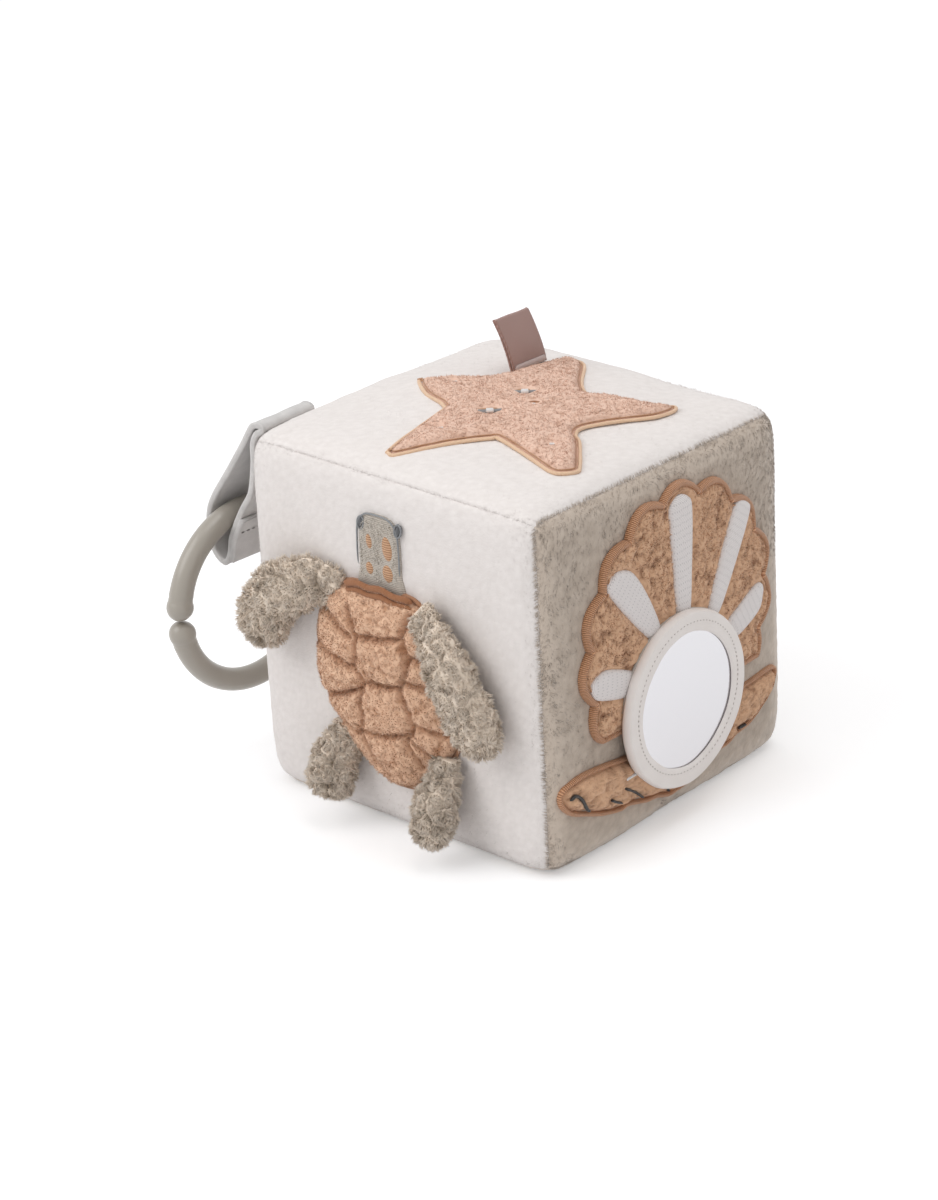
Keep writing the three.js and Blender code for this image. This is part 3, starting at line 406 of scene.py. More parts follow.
white_plush = plush("white_plush", "DBD4D0", "F0EAE7", 0.08, 1400, 45, 0.3, 0.3)
taupe_plush = plush("taupe_plush", "8B7C6D", "CEBFB0", 0.16, 900, 140, 0.45, 0.5)
shares = np.sin(np.linspace(-1, 1, panel_grid) * math.pi / 2 * 0.9) / math.sin(math.pi / 2 * 0.9)
index = np.arange(panel_grid**2).reshape(panel_grid, panel_grid)
loop = np.concatenate([index[0, :-1], index[:-1, -1], index[-1, :0:-1], index[:0:-1, 0]])
turn = np.roll(loop, -1)
rim = np.stack([loop, loop + panel_grid**2, turn + panel_grid**2, turn], 1)
along = np.arange(len(loop)) / len(loop)
rim_along = np.stack([along, along, along + 1 / len(loop), along + 1 / len(loop)], 1)
rim_uv = np.stack([rim_along, np.tile([0.0, 1.0, 1.0, 0.0], (len(loop), 1))], -1)
quads_out, uv_out = grid_faces(panel_grid, panel_grid)
quads_in, uv_in = grid_faces(panel_grid, panel_grid, panel_grid**2)
panel_uv = corner_map([
    in_map(uv_out, 0.005, 0.225, 0.995, 0.995), in_map(uv_in, 0.005, 0.055, 0.165, 0.215),
    in_map(rim_uv, 0.005, 0.005, 0.995, 0.045),
])
for side in sides:
    is_taupe = side in ("right", "back", "bottom")
    b, a = np.meshgrid(shares, shares, indexing="ij")
    flat = panel_point(side, a, b, np.zeros_like(a))
    spots = flat.reshape(-1, 3)
    to_seam = (1 - np.maximum(np.abs(a), np.abs(b))) * half_block
    crease = -0.00007 * np.exp(-((to_seam / 0.0010) ** 2))
    slack = (0.0006 * soft_noise(spots, 0.026, 11) + 0.00012 * soft_noise(spots, 0.009, 12)).reshape(a.shape)
    pucker = 0.0003 * soft_noise(spots, 0.0045, 13).reshape(a.shape) * np.exp(-to_seam / 0.004)
    tuft_size, tuft_depth = (0.0026, 0.0003) if is_taupe else (0.0018, 0.00012)
    apart, _, own = tufts(spots, tuft_size, 21)
    pile_rise = (1 - np.minimum(apart, 1.0)).reshape(a.shape) * tuft_depth
    resting = np.where(flat[..., 2] < 0.0012, 0.0, 1.0) if side == "bottom" else 1.0
    rise = (slack + pucker + pile_rise) * resting * np.minimum(to_seam / 0.001, 1) + crease
    outer = flat + grid_normals(flat) * rise[..., None]
    outer[..., 2] = np.maximum(outer[..., 2], 0.0)
    inner = panel_point(side, a, b, np.full_like(a, -panel_depth))
    inner[..., 2] = np.maximum(inner[..., 2], 0.0012)
    own = own.reshape(a.shape)
    # Painted shade and light from the tufts: darker low between them, lighter on their tops; each tuft's tone
    # also differs at random.
    shade = np.clip(0.62 + 0.5 * (pile_rise / pile_rise.max() - 0.5) + 0.15 * (own - 0.5), 0, 1)
    if is_taupe:
        # Painted light: the taupe pile is lighter within a few millimetres of its seams, where the rounded
        # edges catch the light.
        shade = np.clip(0.1 + 0.8 * shade + 0.55 * np.exp(-((to_seam / 0.007) ** 2)), 0, 1)
    panel = make_piece(
        f"{side}_plush", np.concatenate([outer.reshape(-1, 3), inner.reshape(-1, 3)]),
        [quads_out, quads_in[:, ::-1], rim], taupe_plush if is_taupe else white_plush, "block", panel_uv,
        np.concatenate([shade.ravel(), np.full(shade.size, 0.5)]),
    )
    dress(f"{side}_panel")


# Loose pile: the taupe plush is longer than the white, combed in drifts that run down the panel, and both
# stand out over the seams round them.
def loose_pile(side, count, length, width, material, seed, tuft_size, edge_share, flat=4.5):
    """Fibres scattered over a panel. edge_share of them crowd within a few millimetres of its seams, and
    there they lean out over the next panel. The others lie down the panel, turned a little by soft noise."""
    chance = np.random.default_rng(seed)
    a, b = chance.uniform(-1, 1, (2, count))
    crowd = chance.uniform(size=count) < edge_share
    pull = 1 - 0.08 * chance.uniform(size=count) ** 2
    pick = chance.integers(0, 4, count)
    a = np.where(crowd & (pick == 0), pull, np.where(crowd & (pick == 1), -pull, a))
    b = np.where(crowd & (pick == 2), pull, np.where(crowd & (pick == 3), -pull, b))
    a, b = np.clip(a, -0.997, 0.997), np.clip(b, -0.997, 0.997)
    zero, step = np.zeros(count), 0.002
    spot = panel_point(side, a, b, zero)
    right_step = panel_point(side, a + step, b, zero) - panel_point(side, a - step, b, zero)
    up_step = panel_point(side, a, b + step, zero) - panel_point(side, a, b - step, zero)
    normal, right_way, up_way = unit(np.cross(right_step, up_step)), unit(right_step), unit(up_step)
    drift = 1.1 * soft_noise(spot, 0.02, seed + 1) + 0.5 * soft_noise(spot, 0.006, seed + 2)
    lie = -up_way * np.cos(drift)[:, None] + right_way * np.sin(drift)[:, None]
    over = np.clip((np.maximum(np.abs(a), np.abs(b)) - 0.93) / 0.04, 0, 1)
    sideways = (np.abs(a) > np.abs(b))[:, None]
    outwards = np.where(sideways, right_way * np.sign(a)[:, None], up_way * np.sign(b)[:, None])
    lie = lie * (1 - over[:, None]) + outwards * over[:, None]
    # Painted light: fibres that lean out over a seam are lighter, where the rounded edge catches the light;
    # elsewhere their tone wanders softly.
    high = np.clip(0.52 + 0.12 * soft_noise(spot, tuft_size, seed + 3) + 0.48 * over, 0, 1)
    above = spot[:, 2] > 0.0025
    return strands(
        f"{side}_loose_pile", spot[above], normal[above], lie[above] * flat, length, width, high[above],
        material, "block", seed, 0.2,
    )


for number, (side, count) in enumerate((("right", 17000), ("back", 8000))):
    pile = loose_pile(side, count, 0.0018, 0.00020, taupe_plush, 300 + 10 * number, 0.0035, 0.25)
    dress()
for number, side in enumerate(("top", "front", "left")):
    pile = loose_pile(side, 3000, 0.0011, 0.00011, white_plush, 340 + 10 * number, 0.002, 0.6, 3.0)
    dress()


# Foam and rattle: the block is filled by two blocks of cream open-cell foam, cut flat where they meet, with a
# pocket at the middle for the rattle, which is two plastic cups pressed mouth to mouth round three loose
# beads.
foam_paint, tree, surface = new_material("cream_foam", {"Roughness": 0.95})
bubbles = add(tree, "TexVoronoi", {"Vector": add(tree, "TexCoord")["Object"], "Scale": 900})["Distance"]
foam_colour = two_tone(tree, bubbles, srgb("F7F1DE"), srgb("DCCFAE"))
feed(tree, surface, {"Base Color": foam_colour})
relief(tree, surface, bubbles, 0.5, 0.0006)
for node_name in ("foam_block_lower", "foam_block_upper"):
    foam_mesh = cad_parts[node_name].data.copy()
    foam_mesh.materials.clear()
    foam_mesh.materials.append(foam_paint)
    foam = in_scene(f"{node_name}_cut", foam_mesh)
    weld = foam.modifiers.new("weld", "WELD")
    weld.merge_threshold = 0.00001
    cut = foam.modifiers.new("cut", "REMESH")
    cut.mode = "VOXEL"
    cut.voxel_size = 0.0025
    cut.use_smooth_shade = True
    made = bpy.data.meshes.new_from_object(foam.evaluated_get(bpy.context.evaluated_depsgraph_get()))
    foam.modifiers.clear()
    foam.data = made
    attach(foam, "block")
    dress(node_name)


def moulded_plastic(name, colour, roughness, coat=0.0):
    """Moulded plastic: one colour with a faint flow mottle, a little uneven gloss and fine scuffs in the
    relief."""
    material, tree, surface = new_material(name, {"Coat Weight": coat, "Coat Roughness": 0.25})
    place = add(tree, "TexCoord")["Object"]
    flow = add(tree, "TexNoise", {"Vector": place, "Scale": 55, "Detail": 5})["Fac"]
    dark, pale = (tuple(min(c * by, 1) for c in srgb(colour)[:3]) + (1,) for by in (0.93, 1.05))
    gloss = add(tree, "MapRange", {"Value": flow, "To Min": roughness - 0.05, "To Max": roughness + 0.07})
    feed(tree, surface, {"Base Color": two_tone(tree, flow, dark, pale), "Roughness": gloss["Result"]})
    relief(tree, surface, add(tree, "TexNoise", {"Vector": place, "Scale": 1300})["Fac"], 0.06, 0.0003)
    return material


link_plastic = moulded_plastic("link_plastic", "A39C92", 0.3, 0.3)
cup_plastic = moulded_plastic("cup_plastic", "F2F2F0", 0.45)
for node_name in ("rattle_cup_lower", "rattle_cup_upper", "rattle_bead_1", "rattle_bead_2", "rattle_bead_3"):
    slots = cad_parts[node_name].data.materials
    slots.clear()
    slots.append(cup_plastic if "cup" in node_name else link_plastic)


# The starfish: a five-armed piece of peach boucle laid on the top panel and sewn down round its edge with
# satin stitch. Two eyes and a nose are stitched through it, and single seed stitches pull small dents into
# three arms.
def evenly(line, count):
    """The same line with its points at even steps of its length."""
    run = np.concatenate([[0], np.cumsum(np.linalg.norm(np.diff(line, axis=0), axis=1))])
    at = np.linspace(0, run[-1], count)
    return np.stack([np.interp(at, run, line[:, k]) for k in range(line.shape[1])], 1)


def even_loop(line, count):
    """A closed line, with its points at even steps and none repeated at its end."""
    return evenly(np.vstack([line, line[:1]]), count + 1)[:-1]


def curve_through(a, b, c, d):
    """Catmull-Rom: 24 places on each stretch from b to c, whose slopes there are half of c - a and half of d
    - b."""
    t = np.linspace(0, 1, 24, endpoint=False)[None, :, None]
    curve = 0.5 * (2 * b + (c - a) * t + (2 * a - 5 * b + 4 * c - d) * t**2 + (3 * b - a - 3 * c + d) * t**3)
    return curve.reshape(-1, a.shape[-1])


def smooth_loop(corners, count):
    """A closed smooth curve through the corners, with its points spaced evenly along it."""
    p = np.asarray(corners, float)
    return even_loop(curve_through(*(np.roll(p, k, 0)[:, None] for k in (1, 0, -1, -2))), count)


def smooth_line(corners, count):
    """An open smooth curve through the corners, its ends carried straight on, with evenly spaced points."""
    p = np.asarray(corners, float)
    p = np.vstack([2 * p[0] - p[1], p, 2 * p[-1] - p[-2]])
    curve = curve_through(p[:-3, None], p[1:-2, None], p[2:-1, None], p[3:, None])
    return evenly(np.vstack([curve, p[-2:-1]]), count)


def inset(outline, distance):
    """The outline moved inwards along the normals of its neighbours' chord."""
    chord = unit(np.roll(outline, -1, 0) - np.roll(outline, 1, 0))
    return outline + np.stack([-chord[:, 1], chord[:, 0]], 1) * distance


def edge_distance(spots, outline):
    """Distance from each place to the nearest stretch of a closed outline, in two dimensions."""
    along = np.roll(outline, -1, 0) - outline
    length = (along**2).sum(1)
    nearest = np.full(len(spots), np.inf)
    for start in range(0, len(spots), 2048):
        part = spots[start : start + 2048, None]
        share = np.clip(((part - outline) * along).sum(2) / length, 0, 1)
        gap = part - outline - share[..., None] * along
        nearest[start : start + 2048] = np.sqrt((gap**2).sum(2).min(1))
    return nearest


def point_normals(points, quads):
    """Unit normals at the points: the sum of the normals of the quads round each."""
    total = np.zeros_like(points)
    turn = np.cross(points[quads[:, 1]] - points[quads[:, 0]], points[quads[:, 3]] - points[quads[:, 0]])
    for k in range(4):
        np.add.at(total, quads[:, k], turn)
    return unit(total)


def patch(side, outline, middle, rings, lift):
    """A closed patch of cloth over one side: rings of points run from its middle to its outline at heights
    given by lift(places, share, edge), then down and back to the middle underneath. The rings lie closer near
    the edge."""
    count = len(outline)
    share = np.sin(np.arange(1, rings + 1) / rings * math.pi / 2)
    places = middle + share[:, None, None] * (outline - middle)[None]
    flat = np.vstack([np.array(middle)[None], places.reshape(-1, 2)])
    high = lift(flat, np.concatenate([[0], np.repeat(share, count)]), edge_distance(flat, outline))
    top = over_panel(side, flat[:, 0], flat[:, 1], high)
    under = (middle + np.array([1.0, 0.66, 0.33])[:, None, None] * (outline - middle)[None]).reshape(-1, 2)
    under = np.vstack([under, [middle]])
    bottom = over_panel(side, under[:, 0], under[:, 1], np.full(len(under), 0.0001))
    points = np.vstack([top, bottom])
    k = np.arange(count)
    after = (k + 1) % count
    last = len(points) - 1
    faces = [
        np.stack([np.zeros(count, int), 1 + k, 1 + after], 1),
        grid_faces(rings, count, 1, wrap=True)[0][:, ::-1],
        grid_faces(4, count, 1 + (rings - 1) * count, wrap=True)[0][:, ::-1],
        np.stack([np.full(count, last), last - count + after, last - count + k], 1),
    ]
    low = outline.min(0)
    spread = (outline.max(0) - low).max()
    uv = np.vstack([(flat - low) / spread * 0.8 + 0.01, (under - low) / spread * 0.17 + 0.82])
    return points, faces, corner_map([uv[f] for f in faces])


def scattered(points, quads, values, count, seed):
    """Random places on quads, even by area: for each its point, normal and value, blended from the
    corners."""
    chance = np.random.default_rng(seed)
    diagonal = np.cross(points[quads[:, 2]] - points[quads[:, 0]], points[quads[:, 3]] - points[quads[:, 1]])
    area = np.linalg.norm(diagonal, axis=1)
    q = quads[chance.choice(len(quads), count, p=area / area.sum())]
    u, v = chance.uniform(size=(2, count, 1))
    weights = np.concatenate([(1 - u) * (1 - v), u * (1 - v), u * v, (1 - u) * v], 1)[..., None]
    normal = unit((point_normals(points, quads)[q] * weights).sum(1))
    return (points[q] * weights).sum(1), normal, (values[q] * weights[..., 0]).sum(1)


def curl_lean(spots, normals, size, seed, swirl=0.9, gather=0.5):
    """Which way curly pile lies: round the middle of its own tuft, and a little towards it."""
    _, way, own = tufts(spots, size, seed)
    way = way / np.maximum(np.linalg.norm(way, axis=1, keepdims=True), 1e-9)
    way -= (way * normals).sum(1, keepdims=True) * normals
    round_it = np.cross(normals, way) * np.where(own > 0.5, 1, -1)[:, None]
    return round_it * swirl + way * gather


def boucle_rise(spots, size, seed, depth):
    """Curly tufts in relief: domes over scattered middles, roughened by finer noise. Also returned from 0 to
    1, where 1 is the top of a tuft and 0 the bottom of the gap between two, which the pile colours use as
    painted light and painted shade."""
    bent = spots + 0.35 * size * np.stack([soft_noise(spots, size * 0.8, seed + k) for k in (60, 61, 62)], 1)
    apart, _, own = tufts(bent, size, seed)
    fine, _, _ = tufts(bent, size * 0.45, seed + 40)
    dome = np.clip(1 - apart**1.6, 0, 1) * (0.75 + 0.4 * own) + 0.25 * (1 - fine)
    dome += 0.12 * soft_noise(spots, size * 0.3, seed + 50)
    shade = np.clip(dome * 1.25, 0, 1)
    return dome * depth, shade * shade * (3 - 2 * shade)


def laid(places, raised=middle_height):
    """Flat places as points, raised above the floor, for the noises."""
    return np.stack([places[:, 0], places[:, 1] + raised, np.zeros(len(places))], 1)


def near_edge(edge, reach):
    """From 0 at a patch's edge to 1 at a reach inside it, in a straight line."""
    return np.clip(edge / reach, 0, 1)


def turned_down(edge, thick, soft):
    """The height of thick cloth that turns down at its edge: it nears its thickness as 1 - exp(-edge /
    soft)."""
    return 0.0003 + thick * (1 - np.exp(-np.maximum(edge - 0.0006, 0) / soft))


boucle_tuft = 0.0027
star_boucle = plush("star_boucle", "CBA28B", "EBC8B4", 0.24, 1500, 240, 0.35, 0.2)
star_edge = np.array([
    (-39.2, -0.2), (-27.9, -9.3), (-16.2, -14.4), (-12.8, -20.1), (-8.3, -46.9), (-6.6, -49.7), (-3.7, -49.6),
    (0.8, -43.4), (6, -35.6), (13.8, -26.3), (16.7, -25.1), (32.3, -29.5), (41.5, -32.2), (45.4, -31.4),
    (48.2, -26.9), (46.5, -23), (36.6, -11), (32.1, -7.4), (30.6, -1.8), (35.1, 9.5), (40.3, 19.9),
    (41.2, 28.2), (39.1, 32), (35.3, 28.9), (26.3, 25.2), (18.2, 23), (13.4, 20.6), (5.4, 27.8), (-7.2, 44),
    (-14.4, 45.2), (-16.6, 42.9), (-17.4, 33.8), (-17.5, 21.8), (-20.5, 13.1), (-31, 5.9), (-37.7, 1.5),
]) * 0.001
star_outline = smooth_loop(star_edge, 420)
star_eyes = np.array([(1.8, -12.4), (-0.2, 6.4)]) * 0.001
star_nose = np.array([8.8, 0.2]) * 0.001
star_knots = np.array([(-2.3, -30.4), (-24.9, 1.5), (32.3, -19.3)]) * 0.001
star_dents = [(eye, 0.0013, 0.0032, 0.0036) for eye in star_eyes] + [(star_nose, 0.0011, 0.0025, 0.0026)]
star_dents += [(knot, 0.0013, 0.0020, 0.0016) for knot in star_knots]


def star_lift(places, share, edge):
    """Boucle 2.4 mm thick that turns down at its edge, with dents at the eyes, the nose and the seed
    stitches."""
    rise = turned_down(edge, 0.0021, 0.0009)
    for spot, depth, width, _ in star_dents:
        rise -= depth * np.exp(-(((places - spot) ** 2).sum(1) / width**2))
    flat = laid(places, 0)
    tufted = boucle_rise(flat, boucle_tuft, 31, 0.0005)[0] + 0.00035 * soft_noise(flat, 0.0065, 33)
    return np.maximum(rise + tufted * near_edge(edge, 0.0015), 0.0002)


def boucle_piece(
    name, side, outline, middle, rings, lift, node, material, count, seed, length, keep=None, shade=None,
    width=0.00026
):
    """A patch of peach boucle and, over it, the loose fibres of its curls. keep says which places may carry
    fibres, and shade darkens places such as quilting seams."""
    points, faces, uv = patch(side, outline, middle, rings, lift)
    right, up, _, _ = (np.array(v) for v in sides[side])
    level = np.array([0, 0 if side == "top" else middle_height])
    flat = np.stack([points @ right, points @ up, np.zeros(len(points))], 1)
    # The tuft value paints shade between the curls and light on their tops; shade, if given, adds painted
    # shade along seams.
    tuft = boucle_rise(flat, boucle_tuft, seed, 1.0)[1]
    if shade is not None:
        tuft = tuft * shade(flat[:, :2] - level)
    cloth = make_piece(name, points, faces, material, "block", uv, np.clip(tuft * 0.9 + 0.05, 0, 1))
    dress(node)
    spot, normal, high = scattered(points, faces[1], tuft, count, seed + 1)
    if keep is not None:
        kept = keep(np.stack([spot @ right, spot @ up], 1) - level)
        spot, normal, high = spot[kept], normal[kept], high[kept]
    lie = curl_lean(spot, normal, boucle_tuft, seed, 1.3, 0.5)
    curls = strands(f"{name}_curls", spot, normal, lie, length, width, high, material, "block", seed + 2, 0.3)
    dress()


def off_star_stitches(places):
    """Places on the starfish that its edge, eyes, nose and seed stitches leave free."""
    free = edge_distance(places, star_outline) > 0.0019
    for spot, _, _, gap in star_dents:
        free &= ((places - spot) ** 2).sum(1) > gap**2
    return free


boucle_piece(
    "starfish_boucle", "top", inset(star_outline, 0.0008), np.array([0.005, -0.002]), 60, star_lift,
    "starfish", star_boucle, 12000, 31, 0.0008, off_star_stitches, None, 0.00020,
)

# Thread: fine parallel yarns across a line of satin stitch, from the piece's own thread map, in millimetres.
thread_group, given, put_out = new_group("thread", {
    "Shade": (0.4, 0.25, 0.15, 1), "Light": (0.6, 0.4, 0.3, 1), "Yarns": 2.6,
})
thread_map = add(thread_group, "UVMap", uv_map="thread")["UV"]
yarn_wave = {
    "Vector": thread_map, "Scale": given["Yarns"], "Distortion": 1.2, "Detail": 2, "Detail Scale": 1.5,
}
yarns = add(thread_group, "TexWave", yarn_wave, bands_direction="X")["Fac"]
yarn_colour = two_tone(thread_group, yarns, given["Shade"], given["Light"])
feed(thread_group, put_out, {"Color": yarn_colour, "Height": yarns})


def satin(name, shade, light, yarns_per_mm=0.85, roughness=0.5, bump=0.5, holes=False):
    """Satin stitch: the thread group's yarns, softly glossy. With holes, rows of needle holes cross the
    yarns, each darkened with painted shade."""
    material, tree, surface = new_material(name, {"Roughness": roughness, "Sheen Weight": 0.15})
    tones = {"Shade": srgb(shade), "Light": srgb(light), "Yarns": yarns_per_mm}
    thread = add(tree, "Group", tones, node_tree=thread_group)
    colour = thread["Color"]
    relief(tree, surface, thread["Height"], bump, 0.0003)
    if holes:
        flat_map = add(tree, "UVMap", uv_map="thread")["UV"]
        spread = add(tree, "Mapping", {"Vector": flat_map, "Scale": (0.46, 1.05, 1)})["Vector"]
        cells = {"Vector": spread, "Scale": 1, "Randomness": 0.22}
        rows = add(tree, "TexVoronoi", cells, voronoi_dimensions="2D")["Distance"]
        # Painted shade: the colour is darkened in each needle hole.
        rims = {"Value": rows, "From Min": 0.10, "From Max": 0.20, "To Min": 0.72}
        painted_hole_shade = add(tree, "MapRange", rims)["Result"]
        darker = {"Factor": 1, 6: colour, 7: painted_hole_shade}
        colour = add(tree, "Mix", darker, data_type="RGBA", blend_type="MULTIPLY")[2]
    feed(tree, surface, {"Base Color": colour})
    return material


def swept_mesh(grid, closed=False):
    """A closed skin over rings of points carried along a path: quads from ring to ring and, on an open path,
    fans of triangles to the middles of the end rings. Where the faces look inwards they are turned over.
    Returns points, faces and the map places of each kind of face, from 0 to 1 round the ring and along the
    path."""
    rows, around = grid.shape[:2]
    points = grid.reshape(-1, 3)
    quads, shares = grid_faces(rows, around, 0, True, closed)
    faces, maps = [quads], [shares]
    if not closed:
        points = np.vstack([points, grid[0].mean(0), grid[-1].mean(0)])
        k = np.arange(around)
        after = (k + 1) % around
        last = (rows - 1) * around
        near = np.stack([after, k, np.full(around, rows * around)], 1)
        far = np.stack([k + last, after + last, np.full(around, rows * around + 1)], 1)
        faces.append(np.vstack([near, far]))
        maps.append(np.tile([[[0.0, -0.06], [0.02, -0.06], [0.01, -0.03]]], (2 * around, 1, 1)))
    turn = np.cross(points[quads[:, 1]] - points[quads[:, 0]], points[quads[:, 3]] - points[quads[:, 0]])
    if (turn * (points[quads].mean(1) - grid.mean(1)[quads[:, 0] // around])).sum() < 0:
        faces = [f[:, ::-1] for f in faces]
        maps = [m[:, ::-1] for m in maps]
    return points, faces, maps


def bake_map(maps):
    """The places of a swept mesh's faces in the map that the baked colours use."""
    return corner_map([in_map(m, 0.005, 0.06, 0.995, 0.995) for m in maps])


def stitched_cord(
    name, line, outward, half_width, height, material, slot, node=None, closed=True, around=10, wander=0.0
):
    """A cord of satin stitch carried along a line. Its section is half round: across it lies the line's
    direction crossed with the cloth's outward normal, and height stands along that normal. Open ends are
    drawn to a point."""
    count = len(line)
    ahead = unit(np.roll(line, -1, 0) - np.roll(line, 1, 0) if closed else np.gradient(line, axis=0))
    across = unit(np.cross(ahead, outward))
    angle = np.arange(around) / around * 2 * math.pi
    wide = half_width * (1 + wander * soft_noise(line, 0.004, 5))
    tall = height * (1 + wander * soft_noise(line, 0.003, 6))
    if not closed:
        from_end = np.minimum(np.arange(count), np.arange(count)[::-1])
        taper = np.sqrt(np.clip(from_end / max(count * 0.06, 2), 0.02, 1))
        wide, tall = wide * taper, tall * taper
    lift = np.where(np.sin(angle) > 0, np.sin(angle), 0.35 * np.sin(angle))
    grid = line[:, None] + across[:, None] * (wide[:, None] * np.cos(angle))[..., None]
    grid = grid + outward[:, None] * (tall[:, None] * lift)[..., None]
    points, faces, maps = swept_mesh(grid, closed)
    length_mm = np.linalg.norm(np.diff(line, axis=0), axis=1).sum() * 1000
    if closed:
        length_mm *= count / (count - 1)
    threads = corner_map([np.stack([m[..., 1] * length_mm, m[..., 0] * 3], -1) for m in maps])
    piece = make_piece(name, points, faces, material, "block", bake_map(maps), None, threads)
    dress(node)
    return piece


def stitch_row(name, spots, along, outward, long, half_width, height, material, body):
    """A row of short straight stitches in one mesh: each is a low capsule with pointed ends, and has its own
    cell of the map."""
    count, stations, around = len(spots), 5, 6
    t = np.linspace(-1, 1, stations)
    girth = np.sqrt(np.maximum(1 - t**2, 0.02))
    angle = np.arange(around) / around * 2 * math.pi
    across = np.cross(along, outward)
    grid = (
        spots[:, None, None] + along[:, None, None] * (t * long / 2)[None, :, None, None]
        + across[:, None, None] * (girth[:, None] * np.cos(angle) * half_width)[None, :, :, None]
        + outward[:, None, None] * (girth[:, None] * np.sin(angle) * height)[None, :, :, None]
    )
    points = grid.reshape(-1, 3)
    quads, uv = grid_faces(stations, around, 0, wrap=True)
    first = (np.arange(count) * stations * around)[:, None, None]
    walls = (quads[None] + first).reshape(-1, 4)
    cap = np.array([[0, 1, 2, 3], [0, 3, 4, 5]])
    caps = (np.vstack([cap[:, ::-1], cap + (stations - 1) * around])[None] + first).reshape(-1, 4)
    cells = int(math.ceil(math.sqrt(count)))
    cell = (np.stack([np.arange(count) % cells, np.arange(count) // cells], 1) / cells)[:, None, None]
    cap_corners = np.tile(np.array([[0.02, 0.02], [0.1, 0.02], [0.1, 0.12], [0.02, 0.12]]), (4, 1, 1))
    maps = [cell + in_map(uv, 0.02, 0.2, 0.95, 0.95)[None] / cells, cell + cap_corners[None] / cells]
    turn = np.cross(points[walls[:, 1]] - points[walls[:, 0]], points[walls[:, 3]] - points[walls[:, 0]])
    if (turn * (points[walls].mean(1) - np.repeat(spots, len(quads), 0))).sum() < 0:
        walls, caps = walls[:, ::-1], caps[:, ::-1]
        maps = [m[:, :, ::-1] for m in maps]
    uv = corner_map(maps)
    piece = make_piece(name, points, [walls, caps], material, body, uv, None, uv * 10)
    dress()
    return piece


def on_side(side, flat, height):
    """Points over one side for a list of places, and the side's outward direction there."""
    height, step = np.broadcast_to(height, len(flat)), 0.0005
    spot = over_panel(side, flat[:, 0], flat[:, 1], height)
    right = over_panel(side, flat[:, 0] + step, flat[:, 1], height) - spot
    up = over_panel(side, flat[:, 0], flat[:, 1] + step, height) - spot
    return spot, unit(np.cross(right, up))


def sewn_line(name, side, flat, over, half_width, height, material, slot, node=None, **more):
    """A stitched cord on one side, along flat places, at a height over the plush."""
    line, outward = on_side(side, flat, over)
    return stitched_cord(name, line, outward, half_width, height, material, slot, node, **more)


star_thread = satin("star_thread", "DDAE86", "FADDBF")
sewn_line(
    "starfish_satin", "top", inset(smooth_loop(star_edge, 900), 0.0004), 0.0003, 0.00064, 0.0008, star_thread,
    "satin_thread", "starfish_border", wander=0.12,
)
# Painted shade: thin dark rust lines stand for the shade in the gap inside the starfish's satin edge, inside
# the scallop's cord, and on the far side of each starfish eye's dent.
painted_shade_thread = satin("painted_shade_thread", "B3835F", "CFA17E")
sewn_line(
    "starfish_edge_shade_line", "top", inset(smooth_loop(star_edge, 700), 0.0015), 0.0011, 0.00016, 0.0003,
    painted_shade_thread, "satin_thread", around=6, wander=0.3,
)
grey_thread = satin("grey_thread", "6E6C6C", "A3A2A3")
white_thread = satin("white_thread", "D9D5D4", "F7F5F4")
brown_thread = satin("brown_thread", "8A5635", "B98259")
brow, toward = np.array([0.736, 0.677]), np.array([0.677, -0.736])


def face_stitch(name, middle, shift, long, bend, thin, over, half_width, height, material, slot, node=None):
    """A short stitch of the starfish's face: a bow of half length long whose middle is bent, and shifted,
    towards the chin. thin keeps only some of its forty places."""
    bow = np.linspace(-1, 1, 40)[::thin, None]
    arc = middle + toward * shift + bow * brow * long + (1 - bow**2) * toward * bend
    sewn_line(name, "top", arc, over, half_width, height, material, slot, node, closed=False)


for k, middle in enumerate(star_eyes, 1):
    face_stitch(
        f"starfish_eyelid_{k}", middle, 0, 0.0042, 0.0004, 1, 0.0016, 0.0008, 0.0008, grey_thread,
        "grey_thread", f"starfish_eye_{k}",
    )
    # Painted shade: a thin dark arc on the far side of each eye's dent, where the dent lies in shade.
    face_stitch(
        f"starfish_eye_dent_shade_{k}", middle, -0.0011, 0.0040, -0.0006, 1, 0.0017, 0.00045, 0.0004, painted_shade_thread,
        "satin_thread",
    )
    face_stitch(
        f"starfish_eye_glint_{k}", middle, 0.0006, 0.0013, 0, 2, 0.0019, 0.0009, 0.0010, white_thread,
        "white_thread",
    )
face_stitch(
    "starfish_nose_stitch", star_nose, 0, 0.0019, -0.0010, 1, 0.0017, 0.0006, 0.0007, brown_thread,
    "satin_thread", "starfish_nose",
)
face_stitch(
    "starfish_nose_glint", star_nose, 0.0005, 0.0006, 0, 4, 0.0018, 0.0004, 0.0005, white_thread,
    "white_thread",
)
for k, middle in enumerate(star_knots, 1):
    face_stitch(
        f"starfish_seed_stitch_{k}", middle, 0, 0.0009, 0, 3, 0.0015, 0.0004, 0.0006, white_thread,
        "white_thread",
    )


# The turtle's shell: a padded dome of the same boucle, quilted through in a column of scutes with seams out
# to the rim on both sides, sewn down round its edge, and hemmed with a rolled lip across the neck.
def from_floor(places):
    """Places in millimetres across a panel and above the floor, in metres from the middle of that side."""
    return np.array(places, float) * 0.001 - np.array([0, middle_height])


def line_distance(spots, lines):
    """Distance from each place to the nearest of several lines of short stretches."""
    nearest = np.full(len(spots), np.inf)
    for line in lines:
        for from_point, to_point in zip(line[:-1], line[1:]):
            along = to_point - from_point
            share = np.clip(((spots - from_point) @ along) / (along @ along), 0, 1)
            gap = spots - from_point - share[:, None] * along
            nearest = np.minimum(nearest, np.sqrt((gap**2).sum(1)))
    return nearest


